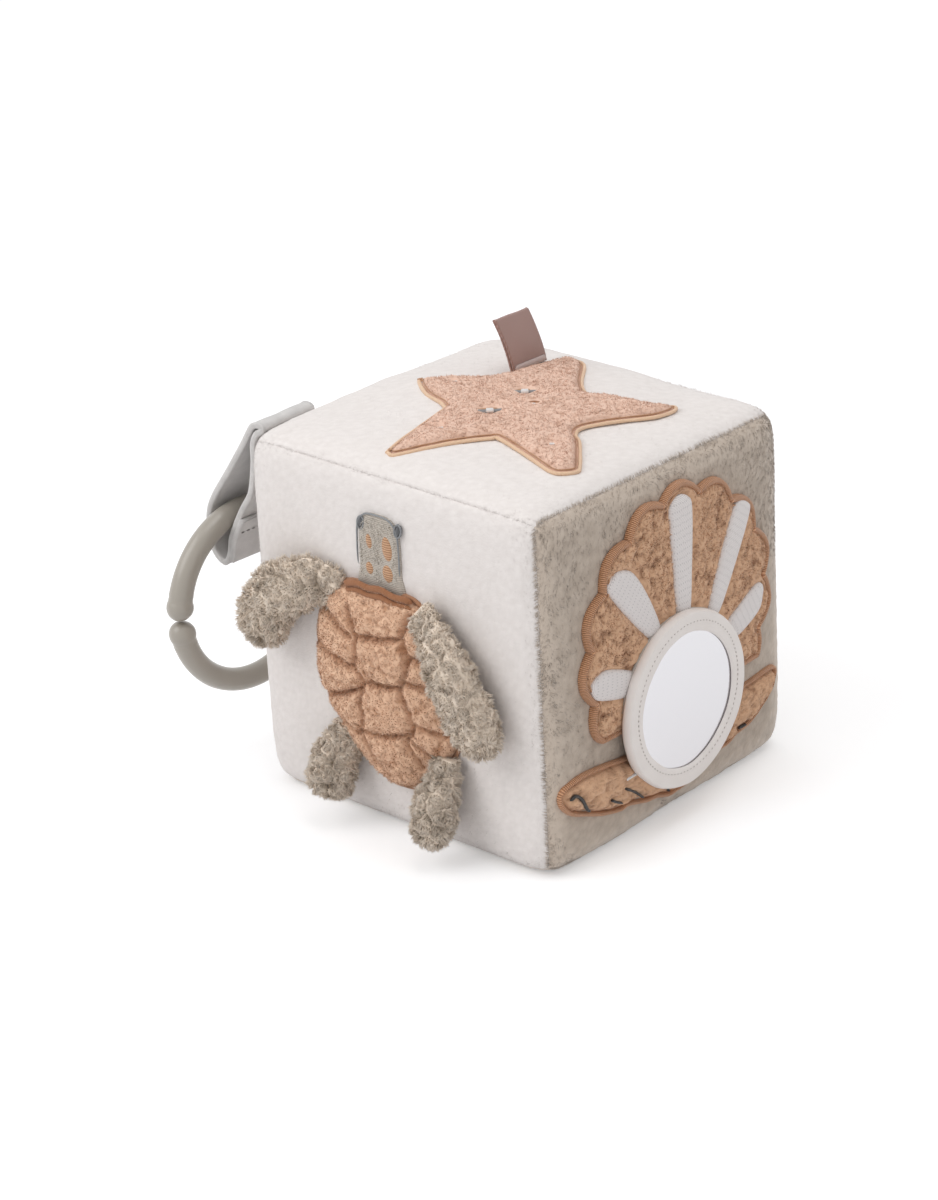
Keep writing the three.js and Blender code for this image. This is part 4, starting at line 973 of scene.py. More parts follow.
shell_middle = np.array([-0.0005, -0.0095])
shell_wide, shell_tall = 0.057, 0.064
shell_shares = np.array([
    (0.22, 0.49), (0, 0.5), (-0.25, 0.49), (-0.4, 0.41), (-0.475, 0.28), (-0.505, 0.1), (-0.49, -0.05),
    (-0.41, -0.2), (-0.26, -0.34), (-0.09, -0.47), (0.04, -0.5), (0.18, -0.47), (0.33, -0.35),
    (0.44, -0.24), (0.49, -0.1), (0.485, 0.08), (0.43, 0.24), (0.35, 0.38),
])
shell_edge = shell_middle + shell_shares * np.array([shell_wide, shell_tall])
quilt_lines = [from_floor(line) for line in (
    [(-12.3, 74.9), (-8.2, 67.8), (-7.7, 61.3), (-9, 58.4), (-4.7, 53.8), (-7, 45.6), (-6.5, 39.8),
     (-8.5, 34.9), (-3, 24)],
    [(12, 78), (10, 71.1), (13.1, 65.4), (12.3, 61.1), (9.8, 54.6), (13.2, 47.3), (13.8, 42.4),
     (10.4, 37.2), (14.5, 29)],
    [(-7.3, 67.6), (1, 68.6), (10.9, 70.9)], [(-3.8, 53.6), (4, 54.2), (10.7, 55.3)],
    [(-7, 35.8), (2, 36.6), (11.5, 39.6)], [(-24, 72), (-21.4, 70.8), (-10.2, 66.5)],
    [(-29, 59.6), (-23.6, 58.6), (-8.5, 57.1)], [(-28, 41), (-17.9, 45), (-6.7, 50.5)],
    [(-22, 36), (-10.5, 33.5), (-7.5, 36)], [(13.1, 65.4), (24, 66)], [(10.5, 57.4), (17.2, 57.2), (28, 55)],
    [(13.6, 44), (20, 42.5), (28, 41)], [(12.5, 37.5), (22, 31)],
)]


def shell_lift(places, share, edge):
    """A dome that rises from the rim by 1.8 mm and then softly to 8.8 mm, pulled down along each quilting
    seam."""
    dome = 0.0018 * (1 - np.exp(-edge / 0.0006)) + 0.0070 * np.maximum(1 - share**3, 0) ** 0.75
    seam = line_distance(places, quilt_lines)
    pull = 0.0021 * np.exp(-((seam / 0.0010) ** 2)) + 0.0018 * np.exp(-seam / 0.0032)
    pull *= near_edge(edge, 0.003)
    tufted = boucle_rise(laid(places), boucle_tuft, 61, 0.0007)[0] * near_edge(edge, 0.0015)
    return np.maximum(0.0002 + dome - pull + tufted, 0.0002)


def seam_shade(places):
    """Painted shade: darker along the quilting seams, where the pile is pulled in."""
    return 1 - 0.6 * np.exp(-((line_distance(places, quilt_lines) / 0.0009) ** 2))


shell_boucle = plush("shell_boucle", "B58463", "E9C2A4", 0.2, 1300, 280, 0.35, 0.2)
boucle_piece(
    "turtle_shell_boucle", "front", smooth_loop(shell_edge, 300), shell_middle, 90, shell_lift,
    "turtle_shell", shell_boucle, 13000, 61, 0.0011, None, seam_shade,
)
shell_thread = satin("shell_thread", "9A6848", "C79470")
sewn_line(
    "turtle_shell_satin", "front", inset(smooth_loop(shell_edge, 520), -0.0007), 0.0002, 0.0007, 0.0009,
    shell_thread, "satin_thread", "turtle_shell_border", wander=0.15,
)
hem_cloth = plush("hem_cloth", "9C6B4C", "C98F6A", 0.5, 1500, 500, 0.5, 0.2)
hem_folds = (
    ("turtle_shell_lip", 0.0004, 0.0034, 0.0010, "turtle_shell_hem"),
    ("turtle_shell_fold", -0.0019, 0.0036, 0.0009, None),
)
for name, drop, out_by, thick, node in hem_folds:
    t = np.linspace(-1, 1, 120)
    flat = np.stack([-0.0016 + t * 0.0142, 0.0236 + drop - 0.0016 * t**2 + 0.0003 * np.sin(t * 9)], 1)
    sewn_line(
        name, "front", flat, out_by - 0.0012 * t**2, thick * 1.1, thick, hem_cloth, "peach_boucle", node,
        closed=False, around=14, wander=0.12,
    )

# The turtle's head: flat grey-beige embroidery on the white panel, edged with one line of blue-grey thread,
# with two stitched eyes at its upper corners and four copper satin spots.
head_shares = np.array([
    (-0.5, -0.14), (0.5, -0.14), (0.5, 0.2), (0.5, 0.45), (0.47, 0.8), (0.3, 0.97), (0, 1), (-0.3, 0.97),
    (-0.47, 0.8), (-0.5, 0.45), (-0.5, 0.2),
])
head_foot = np.array([-0.0016, 0.0248])
head_edge = head_foot + head_shares * np.array([0.017, 0.022])
head_outline = smooth_loop(head_edge, 160)
head_middle = head_foot + np.array([0, 0.011])
head_rise = 0.0011


def satin_patch(name, side, outline, middle, rise, base, material, node, rings=8, turn=0.0):
    """A filled shape of satin stitch: a low pad that nears its height as 1 - exp(-edge / rise) over the
    cloth, its yarns lying across at an angle given by turn."""
    def lift(places, share, edge):
        return base + rise * (1 - np.exp(-edge / (rise * 0.7)))

    points, faces, uv = patch(side, outline, middle, rings, lift)
    right, up, _, _ = (np.array(v) for v in sides[side])
    across, above = points @ right * 1000, points @ up * 1000
    c, s = math.cos(turn), math.sin(turn)
    flat = np.stack([across * c + above * s, above * c - across * s], 1)
    piece = make_piece(name, points, faces, material, "block", uv, None, corner_map([flat[f] for f in faces]))
    dress(node)


def oval(middle, long, wide, tilt, count=48):
    """An ellipse of places, tilted by an angle in degrees."""
    angle = np.arange(count) / count * 2 * math.pi
    x, y = long / 2 * np.cos(angle), wide / 2 * np.sin(angle)
    c, s = math.cos(math.radians(tilt)), math.sin(math.radians(tilt))
    return middle + np.stack([x * c - y * s, x * s + y * c], 1)


head_thread = satin("head_thread", "A49A8F", "CFC6BB", 0.55, 0.7, 0.35)
satin_patch(
    "turtle_head_embroidery", "front", head_outline, head_middle, 0.0012, 0.0002, head_thread,
    "turtle_head", 14, math.pi / 2,
)
blue_thread = satin("blue_grey_thread", "747679", "A2A4A7")
sewn_line(
    "turtle_head_outline", "front", smooth_line(head_edge[2:], 200), head_rise, 0.0003, 0.0004, blue_thread,
    "grey_thread", closed=False, around=8, wander=0.2,
)
copper_thread = satin("copper_thread", "A4724C", "DDB08A", 0.42, 0.5, 0.8)
head_spots = [(-5.0, 97.4, 5.2, 2.9), (2.3, 96.6, 8.2, 4.4), (-5.2, 88.7, 4.4, 3.5), (2.2, 88.6, 6.0, 4.6)]
for k, (x, z, long, wide) in enumerate(head_spots, 1):
    middle = from_floor((x, z))
    satin_patch(
        f"turtle_head_spot_{k}", "front", oval(middle, long * 0.001, wide * 0.001, 97), middle, 0.0008,
        head_rise, copper_thread, f"turtle_head_patch_{k}", turn=math.pi / 2,
    )
dark_thread = satin("dark_grey_thread", "4A4A4D", "6F7073")
for k, place in enumerate(((-8.3, 102.6), (6.9, 103.4)), 1):
    middle = from_floor(place)
    satin_patch(
        f"turtle_eye_satin_{k}", "front", oval(middle, 0.0034, 0.0019, 80), middle, 0.0007, head_rise,
        dark_thread, f"turtle_eye_{k}",
    )
    sewn_line(
        f"turtle_eye_rim_{k}", "front", oval(middle, 0.0042, 0.0026, 80, 60), head_rise, 0.0003, 0.0005,
        blue_thread, "grey_thread", around=8,
    )
spot = np.random.default_rng(72).uniform(-1, 1, (900, 2)) * np.array([0.0072, 0.0098]) + head_middle
clear = edge_distance(spot, head_outline) > 0.0012
for x, z, long, wide in head_spots:
    clear &= (((spot - from_floor((x, z))) / np.array([wide, long])) ** 2).sum(1) > 0.0006**2
spot, outward = on_side("front", spot[clear], 0.0012)
lie = np.random.default_rng(73).normal(size=spot.shape) * 0.7
head_fluff = plush("head_fluff", "B7ADA1", "E3DCD2", 0.2, 1200, 300, 0.3)
fluff = strands(
    "turtle_head_fluff", spot, outward, lie, 0.0014, 0.00028, np.full(len(spot), 0.85), head_fluff, "block",
    74, 0.5,
)
dress()

# The flippers: four stuffed tubes of shaggy grey-beige plush, sewn in under the shell's edge at one end and
# loose at the other, so that a child can lift and shake them.
flipper_plush = plush("flipper_plush", "96836E", "F3E4D3", 0.25, 1000, 320, 0.4, 0.3)
flipper_high = 0.007
flipper_tuft = 0.0040
flippers = {
    "flipper_front_left": ("flipper_fl", 0.34, [
        (-0.31, 0.48, 0), (-0.42, 0.52, 0.08), (-0.55, 0.49, 0.24), (-0.74, 0.36, 0.33), (-0.86, 0.1, 0.41),
    ]),
    "flipper_front_right": ("flipper_fr", 0.32, [
        (0.3, 0.54, 0.45), (0.46, 0.41, 0.49), (0.61, 0.2, 0.33), (0.77, -0.14, 0.16),
    ]),
    "flipper_rear_left": ("flipper_rl", 0.28, [
        (-0.31, -0.31, 0), (-0.34, -0.46, 0.16), (-0.39, -0.69, 0.41),
    ]),
    "flipper_rear_right": ("flipper_rr", 0.25, [
        (0.42, -0.27, 0.33), (0.42, -0.49, 0.41), (0.385, -0.735, 0.73),
    ]),
}
for number, (node_name, (body, width_share, route)) in enumerate(flippers.items()):
    rows, around = 90, 72
    route = smooth_line(np.array(route) * np.array([shell_wide, shell_wide, flipper_high]), 400)
    share = (1 - np.cos(np.linspace(0, 1, rows) * math.pi)) / 2
    at, step = share * (len(route) - 1), np.arange(len(route))
    slope = np.gradient(route[:, :2], axis=0)
    way = np.stack([np.interp(at, step, route[:, k]) for k in range(3)], 1)
    ahead = unit(np.stack([np.interp(at, step, slope[:, k]) for k in range(2)], 1))
    across = np.stack([-ahead[:, 1], ahead[:, 0]], 1)
    from_root = np.clip(share / 0.5, 0, 1)
    from_root = from_root**2 * (3 - 2 * from_root)
    tip = np.sqrt(np.clip(1 - np.maximum(1 - (1 - share) / 0.24, 0) ** 2, 0.0004, 1))
    wide = (width_share * shell_wide / 2 - 0.0013) * (0.7 + 0.3 * from_root) * tip
    full = 0.0012 + 0.0043 * from_root
    angle = np.arange(around) / around * 2 * math.pi
    spine = shell_middle + way[:, None, :2]
    places = spine + across[:, None] * (wide[:, None] * np.cos(angle))[..., None]
    high = 0.0003 + way[:, None, 2] + full[:, None] + (full * tip)[:, None] * np.sin(angle)
    grid = over_panel("front", places[..., 0], places[..., 1], high)
    grid[..., 1] = over_panel("front", spine[..., 0], spine[..., 1], np.zeros((rows, 1)))[..., 1] - high
    normal = -grid_normals(np.concatenate([grid[:, -1:], grid, grid[:, :1]], 1))[:, 1:-1]
    if ((grid - grid.mean(1, keepdims=True)) * normal).sum() < 0:
        normal = -normal
    # The tuft value paints shade between the curls and light on their tops.
    rise, tuft = boucle_rise(grid.reshape(-1, 3), flipper_tuft, 80 + number, 0.0014)
    soft = 0.0005 * soft_noise(grid.reshape(-1, 3), 0.008, 85 + number)
    skin = grid + normal * (rise + soft - 0.0006).reshape(rows, around, 1) * tip[:, None, None]
    points, faces, maps = swept_mesh(skin)
    points[-2:] = grid[[0, -1]].mean(1)
    points[:, 1] = np.minimum(points[:, 1], -half_block - 0.0003)
    points[:, 2] = np.maximum(points[:, 2], 0.0004)
    tuft = np.concatenate([np.clip(tuft * 0.9 + 0.05, 0, 1), [0.3, 0.3]])
    cloth = make_piece(f"{node_name}_plush", points, faces, flipper_plush, None, bake_map(maps), tuft)
    spot, normals, tuft = scattered(points, faces[0], tuft, 9000, 90 + number)
    nearest_row = np.argmin(((spot[:, None] - grid.mean(1)[None, ::6]) ** 2).sum(2), 1) * 6
    forward = np.insert(ahead[nearest_row], 1, 0.0, axis=1)
    lie = curl_lean(spot, normals, flipper_tuft, 80 + number, 0.8, 0.9) + forward * 0.3
    shag = strands(
        f"{node_name}_shag", spot, normals, lie, 0.0024, 0.00033, tuft, flipper_plush, None, 95 + number,
        0.25,
    )
    for piece in (cloth, shag):
        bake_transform(piece)
    dress(node_name)
    dress()


# The scallop: a fan of peach boucle with a scalloped edge, sewn to the taupe panel under a raised cord of
# copper satin stitch, with five rays of white filling stitch.
def lobed(angle_deg):
    """Radius of the scallop shell at an angle: lobes every 24 degrees, with sharp valleys between round
    peaks."""
    turn = np.radians((angle_deg - 15) * 7.5)
    return 0.0465 - 0.0036 * (1 - np.abs(np.cos(turn)))


fan_middle = np.array([0.0022, 0.0050])
fan_degrees = np.linspace(-33, 213, 700)
fan_angles = np.radians(fan_degrees)
fan_arc = fan_middle + lobed(fan_degrees)[:, None] * np.stack([np.cos(fan_angles), np.sin(fan_angles)], 1)
rays = [from_floor(ray) for ray in (
    [(-40.5, 61.4), (-34.4, 63.4), (-23.4, 59.3), (-20.8, 56.9), (-24.2, 51.2), (-36, 53.9), (-40.3, 56.8)],
    [(-31.6, 87.2), (-31.0, 91.0), (-27.0, 93.0), (-20.4, 90.4), (-13.4, 80.0), (-7.8, 66.6),
     (-11.6, 64.5), (-22, 75)],
    [(-2.2, 102.4), (-0.2, 106.6), (3.4, 107.7), (7.2, 106.0), (8.9, 102), (7.8, 84), (5.8, 66.2),
     (0.6, 65.7), (-1.4, 86)],
    [(29.2, 94.0), (33.2, 96.2), (36.8, 94.4), (37.5, 90.8), (30.4, 77.6), (20.2, 62.2),
     (14.6, 63.2), (21.2, 79)],
    [(43.8, 60.2), (43.6, 63.8), (39.8, 64.8), (31, 60.8), (24.8, 56.8), (28.5, 50.6), (40.8, 54.9)],
)]


def clear_of_rays(places):
    """Distance of each place from the nearest ray's edge, less than nothing inside a ray."""
    clear = np.full(len(places), np.inf)
    for ray in rays:
        outline = smooth_loop(ray, 60)
        middle = outline.mean(0)
        angle = np.arctan2(*(places - middle).T[::-1])
        edge_angle = np.arctan2(*(outline - middle).T[::-1])
        order = np.argsort(edge_angle)
        edge_reach = np.linalg.norm(outline - middle, axis=1)[order]
        reach = np.interp(angle, edge_angle[order], edge_reach, period=2 * math.pi)
        inside = np.linalg.norm(places - middle, axis=1) < reach
        clear = np.minimum(clear, edge_distance(places, outline) * np.where(inside, -1, 1))
    return clear


def fan_lift(places, share, edge):
    """Boucle 2.3 mm thick in clumps, pressed down under the rays' stitching."""
    loose = near_edge(clear_of_rays(places), 0.0014)
    clumps = boucle_rise(laid(places), boucle_tuft, 131, 0.0010)[0] * near_edge(edge, 0.0015)
    pressed = (clumps - 0.0002) * loose - 0.0004 * (1 - loose)
    return np.maximum(turned_down(edge, 0.0020, 0.001) + pressed, 0.0002)


clearing_middle, clearing_reach = np.array([-0.00005, -0.0175]), 0.0305


def off_mirror(places):
    """Places on the taupe panel that the mirror and its leatherette ring leave free."""
    return ((places - clearing_middle) ** 2).sum(1) > clearing_reach**2


fan_boucle = plush("fan_boucle", "8A5C40", "DDB391", 0.25, 1300, 280, 0.4, 0.2)
boucle_piece(
    "scallop_boucle", "right", even_loop(fan_arc, 420), np.array([0.0022, 0.008]), 60, fan_lift, "scallop",
    fan_boucle, 12500, 131, 0.0011, lambda places: off_mirror(places) & (clear_of_rays(places) > 0.0008),
)
fan_thread = satin("fan_thread", "9C6541", "DDA67C", 0.55, 0.42, 0.9)
fan_line = even_loop(fan_arc, 1000)
sewn_line(
    "scallop_satin", "right", inset(fan_line, 0.0006), 0.0006, 0.0013, 0.0021, fan_thread, "satin_thread",
    "scallop_border", wander=0.08, around=14,
)
# Painted shade: a thin dark line inside the copper cord, where the groove between the raised cord and the
# boucle lies in shade.
sewn_line(
    "scallop_edge_shade_line", "right", inset(fan_line, 0.0024), 0.0018, 0.0004, 0.0006, painted_shade_thread,
    "satin_thread", around=6, wander=0.25,
)
ray_thread = satin("ray_thread", "D4CCCA", "F3EEEC", 0.7, 0.55, 0.35, True)
for k, ray in enumerate(rays, 1):
    outline = smooth_loop(ray, 120)
    long_way = outline[np.argmax(np.linalg.norm(outline - fan_middle, axis=1))] - outline.mean(0)
    satin_patch(
        f"scallop_ray_satin_{k}", "right", outline, outline.mean(0), 0.0011, 0.0022, ray_thread,
        f"scallop_ray_{k}", 10, math.atan2(long_way[1], long_way[0]),
    )

# The lower valve: a low crescent of the same boucle under the mirror, with its own satin edge, a few black
# stitches and one white one.
valve_edge = from_floor([
    (-51.4, 30.0), (-44.4, 31.2), (-33.8, 30.3), (-23.7, 28.9), (-10, 28), (5, 28), (20, 28.8), (33.1, 30.1),
    (40.3, 30.6), (49.1, 30.9), (51.6, 29.2), (49.3, 24.6), (44.6, 21.2), (37.4, 17.4), (30.9, 16.6),
    (26, 14.8), (20.4, 14.3), (10, 10.8), (1.1, 9), (-4.2, 9), (-9.6, 10.8), (-14.9, 11.6), (-24, 14.1),
    (-27.9, 13.9), (-35.5, 15.8), (-43.8, 19.1), (-49.7, 21.7), (-53.0, 25.2), (-53.4, 28.2),
])
valve_outline = smooth_loop(valve_edge, 420)
marks = [from_floor(mark) for mark in (
    [(-51.9, 26.6), (-49.6, 27.3), (-47.2, 25.4), (-44.9, 21.2), (-43.4, 19.6)],
    [(-33.5, 19.3), (-31, 17.6), (-28.5, 16.2)], [(-27.1, 20.7), (-22, 17.2), (-18.1, 13.6)],
    [(-7.2, 13.6), (-6.2, 12.3), (-5.6, 10.6)], [(30.3, 18), (33.8, 18)],
)]


def valve_lift(places, share, edge):
    """Boucle 2 mm thick that turns down at its edge and puffs up between the stitches along its lower
    half."""
    pinch = np.exp(-((line_distance(places, marks) / 0.0016) ** 2))
    puff = 0.0012 * (1 - pinch) * near_edge(edge, 0.003) - 0.0003 * pinch
    clumps = (boucle_rise(laid(places), boucle_tuft, 171, 0.0011)[0] - 0.0003) * near_edge(edge, 0.0015)
    return np.maximum(turned_down(edge, 0.0018, 0.001) + puff + clumps, 0.0002)


def off_valve_stitches(places):
    """Places on the valve that the mirror, the black stitches and the satin edge leave free."""
    free = off_mirror(places) & (line_distance(places, marks) > 0.0012)
    return free & (edge_distance(places, valve_outline) > 0.0011)


boucle_piece(
    "lower_valve_boucle", "right", valve_outline, np.array([-0.002, -0.0385]), 44, valve_lift, "lower_valve",
    fan_boucle, 6500, 171, 0.0011, off_valve_stitches,
)
sewn_line(
    "lower_valve_satin", "right", inset(smooth_loop(valve_edge, 800), 0.0006), 0.0004, 0.0008, 0.0014,
    fan_thread, "satin_thread", "lower_valve_border", wander=0.12, around=12,
)
black_thread = satin("black_thread", "1B1816", "3A3633")
for k, mark in enumerate(marks, 1):
    sewn_line(
        f"lower_valve_black_stitch_{k}", "right", smooth_line(mark, 30), 0.0022, 0.0005, 0.0009, black_thread,
        "grey_thread", closed=False, around=8, wander=0.3,
    )
sewn_line(
    "lower_valve_white_stitch", "right", smooth_line(from_floor([(-27.6, 24.2), (-22.5, 24.4)]), 30), 0.0032,
    0.0006, 0.0007, white_thread, "white_thread", closed=False, around=8,
)

# The baby-safe mirror: a disc of polished film over card, held to the panel by a flat ring of cream
# leatherette that is stitched down just outside the glass and cut a little unevenly at its outer edge.
glass_middle = np.array([-0.0005, -0.0170])
ring_top_height = 0.0075
stitch_radius = 0.0247


def turned(name, middle, profile, material, node, segments=180, uneven=0.0):
    """A closed piece turned about an axis that stands out of the right side: profile lists (radius, height)
    places from the outer foot over the top, to the axis or back underneath. uneven lets the outer edge
    wander."""
    profile = np.array(profile, float)
    closed = profile[-1, 0] > 1e-6
    if not closed:
        profile = profile[:-1]
    angle = np.arange(segments) / segments * 2 * math.pi
    way = np.stack([np.cos(angle), np.sin(angle)], 1)
    wander = 1 + uneven * soft_noise(laid(way, 0) * 0.03, 0.011, 9)
    places = middle + profile[:, :1, None] * way[None] * wander[None, :, None]
    high = half_block + profile[:, 1:] + 0 * places[..., 0]
    grid = side_spot("right", places[..., 0], places[..., 1], high)
    points, faces, maps = swept_mesh(grid, closed)
    piece = make_piece(name, points, faces, material, "block", bake_map(maps))
    dress(node)
    return piece


leatherette, tree, surface = new_material("leatherette", {"Roughness": 0.55})
place = add(tree, "TexCoord")["Object"]
grain = add(tree, "TexVoronoi", {"Vector": place, "Scale": 1500}, feature="DISTANCE_TO_EDGE")["Distance"]
blotch = add(tree, "TexNoise", {"Vector": place, "Scale": 90})["Fac"]
feed(tree, surface, {"Base Color": two_tone(tree, blotch, srgb("E3DBD6"), srgb("F3EDE9"))})
relief(tree, surface, grain, 0.25, 0.0002)
face = np.linspace(0.0282, 0.0230, 22)
groove = 0.0001 * np.exp(-(((face - stitch_radius) / 0.0004) ** 2))
ring_profile = [
    (0.0284, 0.0040), (0.0288, 0.0048), (0.0289, 0.0058), (0.0287, 0.0067), (0.0284, 0.0072),
    *zip(face, ring_top_height - groove), (0.0226, 0.0074), (0.0222, 0.0071), (0.0221, 0.0069),
    (0.0225, 0.0068), (0.0246, 0.0068), (0.0246, 0.0054), (0.0284, 0.0054),
]
turned(
    "mirror_leatherette_ring", glass_middle + np.array([-0.0001, -0.0008]), ring_profile, leatherette,
    "mirror_ring", 300, 0.013,
)

film, tree, surface = new_material("mirror_film", {"Metallic": 1.0, "Base Color": srgb("DBDADD")})
place = add(tree, "TexCoord")["Object"]
smear = add(tree, "TexNoise", {"Vector": place, "Scale": 60, "Detail": 4})["Fac"]
haze = add(tree, "MapRange", {"Value": smear, "To Min": 0.05, "To Max": 0.16})["Result"]
feed(tree, surface, {"Roughness": haze})
relief(tree, surface, smear, 0.03, 0.001)
disc_profile = [(0.0243, 0.0054), (0.0244, 0.0062), (0.0243, 0.0065)]
disc_profile += [(radius, 0.0066) for radius in np.linspace(0.0238, 0.0008, 20)] + [(0, 0.0066)]
turned("mirror_glass", glass_middle, disc_profile, film, "mirror_disc")

stitch_count = 96
angle = np.arange(stitch_count) / stitch_count * 2 * math.pi
zero = np.zeros(stitch_count)
around_ring = stitch_radius * np.stack([np.cos(angle), np.sin(angle)], 1) + glass_middle
stitch_height = half_block + ring_top_height - 0.00005
row = side_spot("right", around_ring[:, 0], around_ring[:, 1], zero + stitch_height)
mirror_thread = satin("mirror_thread", "B5ADA6", "CDC6C0")
stitch_row(
    "mirror_ring_stitches", row, np.stack([zero, -np.sin(angle), np.cos(angle)], 1),
    np.tile(np.array([1.0, 0.0, 0.0]), (stitch_count, 1)), 0.0009, 0.00022, 0.0002, mirror_thread, "block",
)
pad_cloth = plush("mirror_backing", "B9B3AC", "D5D0CA", 0.3, 1500, 300, 0.3)
pad_profile = [(0.0270, 0.0030), (0.0278, 0.0034), (0.0280, 0.0042), (0.0277, 0.0048)]
pad_profile += [(radius, 0.0051) for radius in np.linspace(0.0270, 0.0009, 16)] + [(0, 0.0051)]
pad = turned("mirror_backing_pad", glass_middle, pad_profile, pad_cloth, "mirror_pad", 120)


# The hanging strap: a strip of light grey jersey, turned right side out and edge stitched, folded round the
# link ring and sewn into the seam between the top and left panels. It hangs open, with a stitched fold below
# the ring.
def strip(name, path, inward, edges, thick, material, body, closed, across=20):
    """A strip of cloth along a path. edges lists, for each place, the two edge points' offset vectors from
    the path, and inward is the cloth's thickness direction there. Its long edges are rounded and hemmed with
    a low ridge."""
    t = np.linspace(-1, 1, across)
    half = np.vstack([np.stack([t, np.ones(across)], 1), [(1.015, 0.4), (1.02, 0.0), (1.015, -0.4)]])
    side, face = np.vstack([half, -half]).T
    share = ((side + 1) / 2)[None, :, None]
    grid = path[:, None] + edges[0][:, None] * (1 - share) + edges[1][:, None] * share
    soft = 0.00012 * soft_noise(grid.reshape(-1, 3), 0.006, 41).reshape(len(path), len(side))
    hem = 0.00016 * np.exp(-(((np.abs(side) - 0.985) / 0.03) ** 2))
    hem -= 0.00022 * np.exp(-(((np.abs(side) - 0.88) / 0.014) ** 2))
    grid = grid + inward[:, None] * ((face * (thick / 2 + hem))[None] + soft)[..., None]
    points, faces, maps = swept_mesh(grid, closed)
    return make_piece(name, points, faces, material, body, bake_map(maps))


jersey, tree, surface = new_material("strap_jersey", {"Roughness": 0.85, "Sheen Weight": 0.3})
place = add(tree, "TexCoord")["Object"]
knit = {"Vector": place, "Scale": 700, "Distortion": 2.5, "Detail": 2}
wales = add(tree, "TexWave", knit, bands_direction="Y")["Fac"]
fluff = add(tree, "TexNoise", {"Vector": place, "Scale": 260, "Detail": 5})["Fac"]
both = add(tree, "Math", {0: wales, 1: 0.35, 2: fluff}, operation="MULTIPLY_ADD")[0]
feed(tree, surface, {"Base Color": two_tone(tree, both, srgb("B3B0AE"), srgb("D6D3D1"))})
relief(tree, surface, both, 0.3, 0.0003)

strap_root = np.array([-0.058495, -0.0405, 0.11938])
strap_drop = 0.033
strap_lean = math.radians(3.4)
loop_shares = np.array([
    (0.1, -0.003), (0.179, 0.085), (0.33, 0.32), (0.512, 0.582), (0.72, 0.872), (0.805, 1.079),
    (0.812, 1.3), (0.755, 1.47), (0.633, 1.539), (0.555, 1.44), (0.505, 1.239), (0.342, 0.933),
    (0.203, 0.709), (0.142, 0.406), (0.13, 0.194), (0.08, 0.085), (0.0, 0.03), (0.0, -0.01),
])
loop = smooth_loop(loop_shares, 260) * strap_drop
inner = unit(inset(loop, 0.001) - loop)


def strap_run(outline, inwards, low, high):
    """Path, inward direction and edges of cloth that hangs along an outline: it leans aside as it goes
    down."""
    zero = np.zeros(len(outline))
    lean = math.tan(strap_lean) * np.clip(outline[:, 1] / strap_drop, 0, 1)
    path = np.stack([strap_root[0] - outline[:, 0], zero, strap_root[2] - outline[:, 1]], 1)
    edges = [np.stack([lean * off, zero + strap_root[1] + off, zero], 1) for off in (low, high)]
    return path, np.stack([-inwards[:, 0], zero, -inwards[:, 1]], 1), edges, lean


path, inward, edges, _ = strap_run(loop, inner, -0.0113, 0.0113)
strap = strip("strap_jersey_loop", path, inward, edges, 0.0018, jersey, "strap", True)
dress("hanging_strap")

second_half = (np.arange(len(loop)) > len(loop) * 0.35) & (loop[:, 0] < 0.57 * strap_drop)
past_ring = (loop[:, 1] > strap_drop) & second_half
lap = inset(loop, -0.00178)[past_ring][::-1]
path, inward, edges, lean = strap_run(lap, inner[past_ring][::-1], -0.0118, 0.0113)
lap_piece = strip("strap_lapped_end", path, inward, edges, 0.0016, jersey, "strap", False)
dress()

row_at = int(len(lap) * 0.3)
across = np.linspace(-0.0100, 0.0100, 10)
row = path[row_at] - inward[row_at] * 0.00085
row = row + np.stack([lean[row_at] * across, strap_root[1] + across, 0 * across], 1)
strap_thread = satin("strap_thread", "85827F", "A5A2A0")
stitches = stitch_row(
    "strap_stitches", row, np.tile(np.array([0.0, 1.0, 0.0]), (len(row), 1)),
    np.tile(-inward[row_at], (len(row), 1)), 0.0015, 0.00028, 0.0003, strap_thread, "strap",
)


# The link ring: an open ring of warm grey plastic, moulded in one shot, with a faint parting line along its
# bar. Its two ball ends nearly touch, and it hangs in the fold of the strap.
ring_top = np.array([-0.078995, -0.0430, 0.0849])
ring_radius, tube, ball, ring_gap = 0.0295, 0.0038, 0.0044, 0.0005
ring_turn = math.radians(-3.4)
half_gap = math.asin((ball + ring_gap / 2) / ring_radius)
near_end = ball * np.sin(np.linspace(-0.995, 1, 40) * math.pi / 2)
reach = ring_radius * 2 * (math.pi - half_gap)
along = np.concatenate([near_end, np.linspace(ball, reach - ball, 262)[1:-1], reach - near_end[::-1]])
from_end = np.minimum(along, reach - along)
round_end = np.sqrt(np.maximum(ball**2 - np.clip(from_end, -ball, ball) ** 2, 1e-10))
neck = tube * (1 + 0.05 * np.exp(-np.maximum(from_end - 0.003, 0) / 0.004))
size = np.where(from_end < 0, round_end, np.maximum(round_end, neck))
size -= 0.00010 * np.exp(-(((from_end - 0.0030) / 0.00045) ** 2))
turn = (math.pi + half_gap + along / ring_radius)[:, None]
section = np.linspace(0, 2 * math.pi, 48, endpoint=False)
parting = 1 + 0.012 * np.exp(-((np.sin(section) / 0.05) ** 2))
from_middle = ring_radius + size[:, None] * np.cos(section) * parting
aside = size[:, None] * np.sin(section) * parting
forward, upward = from_middle * np.cos(turn), from_middle * np.sin(turn) - ring_radius
c, s = math.cos(ring_turn), math.sin(ring_turn)
grid = np.stack([aside * c - forward * s, aside * s + forward * c, upward], -1) + ring_top
points, faces, _ = swept_mesh(grid)
link = make_piece("link_ring_moulded", points, faces, link_plastic, "ring")
dress("link_ring")


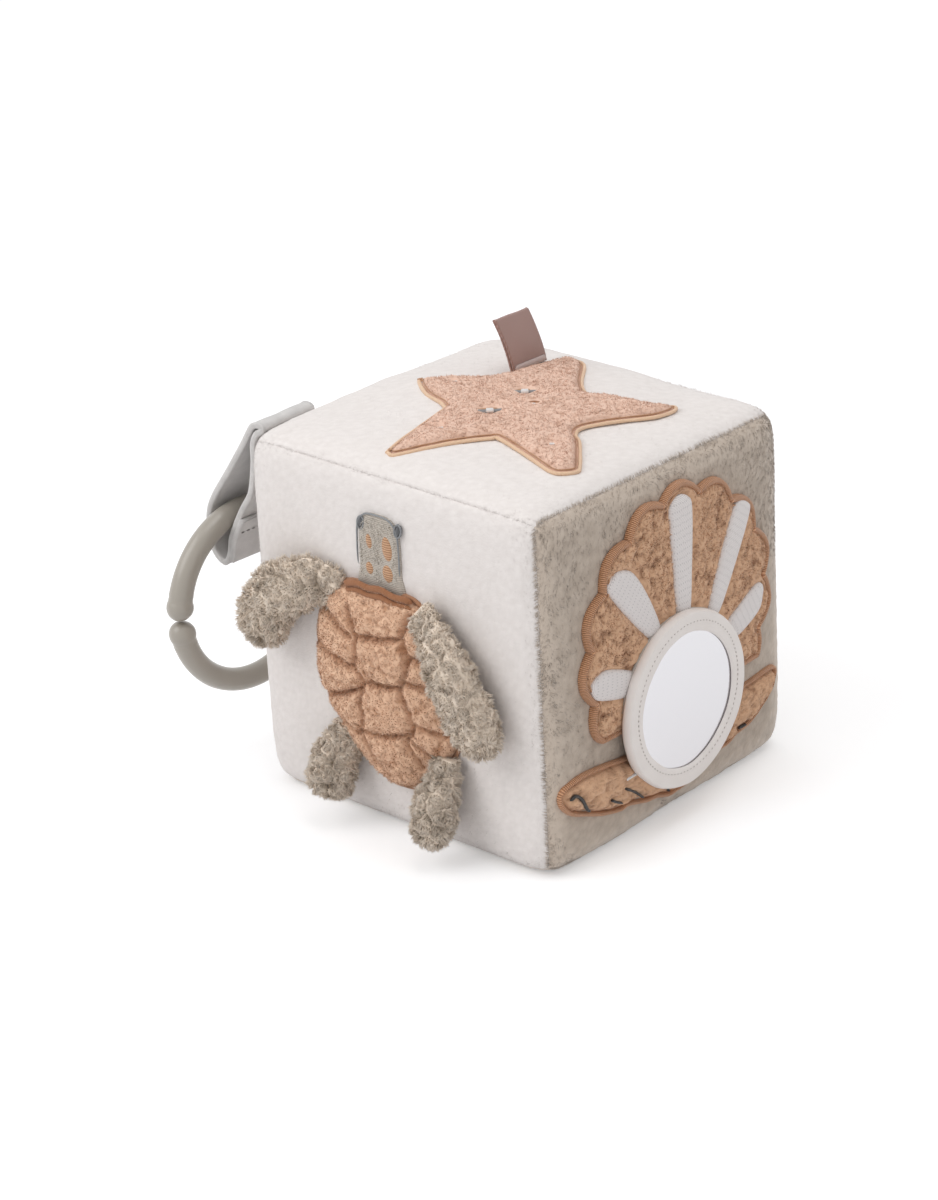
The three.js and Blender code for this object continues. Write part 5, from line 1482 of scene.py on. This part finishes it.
# The woven label: a short satin-weave ribbon folded double, caught in a row of stitches on the top panel
# behind the starfish, so that it stands up.
label_cloth, tree, surface = new_material("label_weave", {"Roughness": 0.6, "Sheen Weight": 0.2})
place = add(tree, "TexCoord")["Object"]
warp, weft = (
    add(tree, "TexWave", {"Vector": place, "Scale": scale, "Distortion": 0.6}, bands_direction=way)["Fac"]
    for scale, way in ((900, "Z"), (700, "Y"))
)
woven = add(tree, "Math", {0: warp, 1: weft}, operation="MULTIPLY")[0]
feed(tree, surface, {"Base Color": two_tone(tree, woven, srgb("92726A"), srgb("C5A59D"))})
relief(tree, surface, woven, 0.3, 0.0002)
label_foot, _ = on_side("top", np.array([[-0.0180, 0.0214], [-0.0201, 0.0395]]), 0.0005)
label_top = np.array([[-0.0220, 0.0169, 0.1419], [-0.0220, 0.0348, 0.1402]])
rise = (label_top - label_foot).mean(0)
label_height = float(np.linalg.norm(rise))
climb = rise / label_height
width_way = label_foot[1] - label_foot[0]
face_way = unit(np.cross(width_way, climb))
half_fold, label_steps = 0.00042, 30
t = np.linspace(0, 1, label_steps)
front = np.stack([np.full(label_steps, half_fold), t * (label_height - half_fold)], 1)
bend = np.linspace(0, math.pi, 14)[1:-1]
over = np.stack([half_fold * np.cos(bend), label_height - half_fold + half_fold * np.sin(bend)], 1)
fold = np.vstack([front, over, front[::-1] * np.array([-1, 1])])
slope = unit(np.gradient(fold, axis=0))
high = fold[:, 1:] / label_height
belly = 0.0007 * np.sin(high * math.pi)
path = fold[:, :1] * face_way + high * rise + belly * face_way
inward = slope[:, 1:] * face_way - slope[:, :1] * climb
foot_edges = [np.tile(foot, (len(fold), 1)) for foot in label_foot]
label = strip("label_folded", path, inward, foot_edges, 0.0005, label_cloth, None, False, across=24)
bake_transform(label)
dress("woven_label")
label_thread = satin("label_thread", "B39A94", "DCCBC6")
line = label_foot[0] + np.linspace(0.02, 0.98, 40)[:, None] * width_way + face_way * 0.0011 + climb * 0.0012
seam = stitched_cord(
    "label_seam", line, np.tile(face_way, (40, 1)), 0.0011, 0.0004, label_thread, "satin_thread",
    closed=False, around=8,
)
